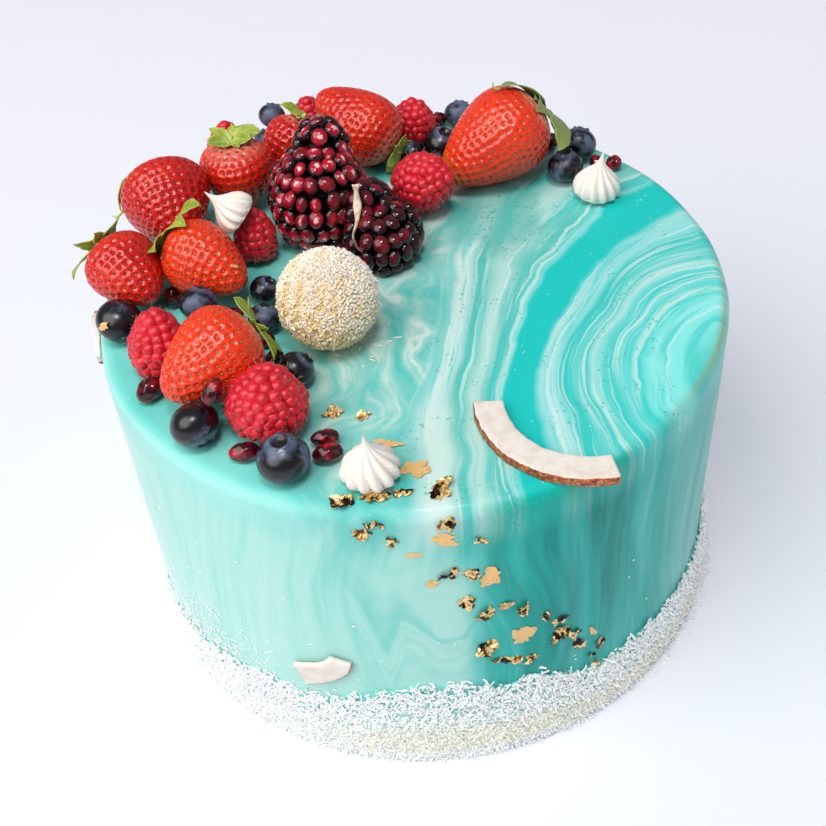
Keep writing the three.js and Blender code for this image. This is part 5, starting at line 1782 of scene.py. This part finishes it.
def kiss_shape(radius, height, draw):
    """A piped drop: the outline turned about its axis, its girth pinched between twelve ridges that twist a
    little, its tip leaning to one side."""
    sway = draw.uniform(0, TURN)
    steps = np.linspace(0, 1, len(KISS_REACH))

    def rule(down, angle):
        reach, rise = np.interp(1 - down, steps, KISS_REACH), np.interp(1 - down, steps, KISS_RISE)
        ridge = np.abs(np.sin(6 * (angle + 0.5 * rise))) ** 0.75
        depth = 0.26 * np.clip(rise / 0.06, 0.3, 1) * np.clip((0.97 - rise) / 0.3, 0, 1)
        girth = reach * (1 - depth * (1 - ridge)) * (1 + 0.02 * np.sin(3 * angle + sway))
        tip = np.clip((rise - 0.7) / 0.3, 0, 1) ** 2 * 0.6
        return round_points(radius * girth, angle, height * rise) + round_points(tip, sway, 0 * rise)

    return ball(70, 144, rule)


def meringue_finish(colours):
    """Off-white, warmer in soft patches."""
    look = Finish("meringue", Roughness=0.55, Subsurface_Weight=0.35, Subsurface_Radius=(1.0, 0.85, 0.7),
                  Subsurface_Scale=0.0015)
    look.colour(look.mix(look.step(look.noise(0.3, 3), 0.3, 0.7), "EFEAE6", colours.meringue))
    look.bump(look.noise(1.1, 4), 0.08, 0.5)
    return look.material


class MakeMeringues(bpy.types.Operator):
    """Pipe the three meringue kisses"""

    bl_idname = "coconut_cake.meringues"
    bl_label = "Meringues"

    def execute(self, context):
        finish = [meringue_finish(context.scene.coconut_cake.sweet)]

        def make(kiss, number):
            at, tip, radius, height = kiss
            return placed(kiss_shape(radius, height, drawing("meringue", number)), above(at), tip)

        new_pieces(MERINGUES, "meringue", "piped", finish, make)
        return {"FINISHED"}


# Coconut slices

# How many points a slice has round its section, and how many sections along it
SECTION_POINTS = 28
SECTIONS = 60

# Each slice: inner and outer radius, from and to which angle, thickness, and the seed of its unevenness
TOP_SLICE = (20.5, 28.4, 176, 278.5, 3.0, 51)
LEFT_SLICE = (12, 17, 195, 250, 1.5, 53)

# Where the middles of their arcs lie
TOP_SLICE_AT = np.array([41, -57.5, CAKE_HEIGHT - 0.05])
LEFT_SLICE_AT = np.array([-(CAKE_RADIUS + 0.6), -15.5, CAKE_HEIGHT + 2])

# The chip's lower and upper edge, as distances round the side and up it from its middle, and where that is
CHIP_LOWER = [(-5.5, -6.5), (-1.5, -4.6), (2, -2.2), (5, 0.5), (7.8, 3.8), (9, 8)]
CHIP_UPPER = [(-9, 2), (-6.5, 3.2), (-4, 4.5), (-1.5, 5.5), (0.8, 7), (2.5, 9.5)]
CHIP_AROUND = -111.5
CHIP_HEIGHT = 39.5


def arc_slice(inner, outer, start, end, thickness, seed):
    """A rectangle, rounded by low powers of cosine and sine, carried round an arc, drawn in at its ends and a
    little uneven. Its flow holds how far out each point lies, how far along and how high."""
    turn = np.arange(SECTION_POINTS) / SECTION_POINTS * TURN
    side, lift = (np.sign(wave) * np.abs(wave) ** 0.22 for wave in (np.cos(turn), np.sin(turn)))
    rise = thickness / 2 + thickness / 2 * lift
    steps = np.concatenate([[0, 0.004, 0.012], np.linspace(0.03, 0.97, SECTIONS), [0.988, 0.996, 1]])[:, None]
    shrink = np.concatenate([[0.8, 0.95, 1], np.ones(SECTIONS), [1, 0.95, 0.8]])[:, None]
    middle = (inner + outer) / 2
    angle = np.radians(start + (end - start) * steps)
    radius = middle + (outer - inner) / 2 * side * shrink
    height = thickness / 2 + (rise - thickness / 2) * shrink
    points = round_points(radius, angle, height)
    out, up = 0.22 * waves(points, 7, seed), 0.15 * waves(points, 9, seed + 1)
    rough = round_points(radius + out, angle, height + up)
    flow = np.stack(np.broadcast_arrays(side, steps, rise / thickness), -1)
    ends = np.array([[0, 1, 0.5], [0, 0, 0.5]])
    return swept(rough[::-1])._replace(flow=np.concatenate([flow[::-1].reshape(-1, 3), ends]))


def chip_shape():
    """A curved offcut: a sheet ruled between its lower and its upper edge, bent to the side of the cake."""
    s, t = np.meshgrid(np.linspace(0, 1, 24), np.linspace(0, 1, 12), indexing="ij")
    lower, upper = (curved(edge, 24, 2)[:, None] for edge in (CHIP_LOWER, CHIP_UPPER))
    along, up = np.moveaxis(lower * (1 - t[..., None]) + upper * t[..., None], -1, 0)
    reach = CAKE_RADIUS + 1.0 + 0.9 * np.sin(np.pi * s) * (t - 0.2) * 0.5
    grid = round_points(reach, math.radians(CHIP_AROUND) + along / CAKE_RADIUS, CHIP_HEIGHT + up)
    thick = 1.5 * np.clip(8 * np.minimum(t, 1 - t) + 0.5, 0, 1)
    flow = np.stack([1 - 2 * t, s, 0.5 + 0 * t], -1)
    return shell(grid[:, ::-1], thick[:, ::-1], flow=flow[:, ::-1])


def slice_finish(colours, name, rind_from, breaks):
    """White flesh, stained in places, with a brown skin on the outer edge that has one break along it."""
    look = Finish(name, Roughness=0.5, Subsurface_Weight=0.3, Subsurface_Radius=(1.0, 0.85, 0.75),
                  Subsurface_Scale=0.0015)
    side, along, _ = look.flow()
    flesh = look.mix(look.step(look.noise(0.3, 4), 0.35, 0.7), "EAE3D9", "DFD3C5")
    stain = look.times(look.step(look.noise(0.2, 2), 0.55, 0.7), look.step(along, 0.0, 0.3, 0.25, 0))
    flesh = look.mix(stain, flesh, "C9A47E")
    bark = look.ramp(look.noise(0.55, 5, 0.7), [(0.36, "4A1C0C"), (0.45, colours.rind), (0.52, "B25A22"),
                                                (0.58, "D98E4A"), (0.63, "7A3A1C")])
    edge = look.plus(side, look.swing(look.noise(0.9, 3), 0.14))
    skin = look.times(look.step(edge, rind_from, rind_from + 0.03),
                    look.step(look.apart(along, breaks[0]), breaks[1], breaks[1] + 0.02))
    look.colour(look.mix(skin, flesh, bark))
    look.bump(look.noise(1.3, 4, 0.6), 0.25, 0.7)
    return look.material


class MakeSlices(bpy.types.Operator):
    """Lay the coconut slices and the chip on the side"""

    bl_idname = "coconut_cake.slices"
    bl_label = "Coconut slices"

    def execute(self, context):
        colours = context.scene.coconut_cake.coconut
        top = arc_slice(*TOP_SLICE)
        top = top._replace(points=top.points + TOP_SLICE_AT)
        new_piece(top, "slice_top_cut", [slice_finish(colours, "coconut_slice", 0.93, (0.66, -0.1))],
                  ["coconut_slice_top"])
        left = arc_slice(*LEFT_SLICE)
        x, y, z = left.points.T
        left = left._replace(points=LEFT_SLICE_AT + np.stack([-z, -x, y], -1))
        new_piece(left, "slice_left_cut", [slice_finish(colours, "coconut_shaving", 0.4, (0.5, 0.02))],
                  ["coconut_slice_left"])
        new_piece(chip_shape(), "chip_cut", [slice_finish(colours, "coconut_chip", 0.9, (0.5, 0.0))],
                  ["coconut_chip"])
        return {"FINISHED"}


# The stage

# Each light: its name, its place in metres, its width, its share of the key's power and its colour
LIGHTS = [
    ("key", (-1.75, -1.25, 2.5), 3.4, 1.0, (1.0, 0.99, 0.97)),
    ("overhead", (0.1, -0.9, 3.0), 0.75, 0.36, (0.97, 0.98, 1.0)),
]
LIGHT_AIM = (0, 0, 0.08)

# How far the floor reaches, how many points it has each way, and how far it lies below the cake
FLOOR_REACH = 4000.0
FLOOR_POINTS = 9
FLOOR_DROP = 0.05


def add_light(name, at, width, power, colour):
    """A round soft light that looks from its place at the cake."""
    data = bpy.data.lights.new(name, "AREA")
    data.shape = "DISK"
    data.size = width
    data.energy = power
    data.color = colour
    lamp = new_object(name, data)
    lamp.location = at
    lamp.rotation_mode = "QUATERNION"
    direction = unit(np.array(LIGHT_AIM) - np.array(at))
    lamp.rotation_quaternion = Vector(direction).to_track_quat("-Z", "Y")


def add_camera():
    """The camera looks from its place to its aim, then turns about its own axis."""
    lens = bpy.data.cameras.new("camera")
    lens.lens = FOCAL_PIXELS * SENSOR_WIDTH / PICTURE_PIXELS
    lens.sensor_width = SENSOR_WIDTH
    camera = new_object("camera", lens)
    forward = unit(np.array(CAMERA_AIM) - np.array(CAMERA_AT))
    right = unit(np.cross(forward, UP))
    up = np.cross(right, forward)
    roll = math.radians(CAMERA_ROLL)
    across = right * math.cos(roll) + up * math.sin(roll)
    upward = up * math.cos(roll) - right * math.sin(roll)
    matrix = np.eye(4)
    matrix[:3, 0], matrix[:3, 1], matrix[:3, 2] = across, upward, -forward
    matrix[:3, 3] = np.array(CAMERA_AT) * MM
    camera.matrix_world = Matrix(matrix.tolist())
    bpy.context.scene.camera = camera


def floor_piece(colour):
    """A wide flat floor, a grid of points just below the cake."""
    line = np.linspace(-FLOOR_REACH, FLOOR_REACH, FLOOR_POINTS)
    u, v = np.meshgrid(line, line, indexing="ij")
    index = np.arange(FLOOR_POINTS ** 2).reshape(FLOOR_POINTS, FLOOR_POINTS)
    mesh = bpy.data.meshes.new("floor")
    points = np.stack([u, v, 0 * u - FLOOR_DROP], -1).reshape(-1, 3)
    mesh.from_pydata((points * MM).tolist(), [], grid_faces(index).tolist())
    floor = new_object("floor", mesh)
    look = Finish("floor_paper", Roughness=0.75)
    look.colour(look.mix(look.noise(0.02, 2), colour, tuple(0.98 * part for part in colour)))
    mesh.materials.append(look.material)


class MakeStage(bpy.types.Operator):
    """Lay the plain floor, hang the soft lights and set the camera"""

    bl_idname = "coconut_cake.stage"
    bl_label = "Stage"

    def execute(self, context):
        settings = context.scene.coconut_cake.stage
        floor_piece(tuple(settings.floor))
        for name, at, width, share, colour in LIGHTS:
            add_light(name, at, width, settings.key * share, colour)
        world = bpy.data.worlds.new("surround")
        context.scene.world = world
        world.use_nodes = True
        surround = world.node_tree.nodes["Background"]
        surround.inputs["Color"].default_value = tuple(settings.sky)
        surround.inputs["Strength"].default_value = settings.fill
        context.scene.view_settings.view_transform = "Standard"
        add_camera()
        return {"FINISHED"}


MAKERS = [
    MakeGlaze, MakeGold, MakeBorder, MakeStrawberries, MakeRaspberries, MakeBlueberries, MakePomegranate,
    MakeTruffle, MakeMeringues, MakeSlices, MakeStage,
]


class CakePanel(bpy.types.Panel):
    """Lists the parts of the cake and their settings"""

    bl_idname = "VIEW3D_PT_coconut_cake"
    bl_label = "Coconut cake"
    bl_space_type = "VIEW_3D"
    bl_region_type = "UI"
    bl_category = "Cake"

    def draw(self, context):
        for maker in MAKERS:
            self.layout.operator(maker.bl_idname)
        settings = context.scene.coconut_cake
        for name, group in GROUPS.items():
            box = self.layout.box()
            box.label(text=name.capitalize())
            for setting in group.__annotations__:
                box.prop(getattr(settings, name), setting)


CLASSES = [*GROUPS.values(), CakeSettings, *MAKERS, CakePanel]


def register():
    """Makes the classes and the settings known to Blender."""
    for item in CLASSES:
        bpy.utils.register_class(item)
    bpy.types.Scene.coconut_cake = bpy.props.PointerProperty(type=CakeSettings)


def unregister():
    """Takes the settings and the classes away again."""
    del bpy.types.Scene.coconut_cake
    for item in reversed(CLASSES):
        bpy.utils.unregister_class(item)


def main():
    """Builds every group in order."""
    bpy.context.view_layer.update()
    register()
    for maker in MAKERS:
        family, name = maker.bl_idname.split(".")
        getattr(getattr(bpy.ops, family), name)()


if __name__ == "__main__":
    main()
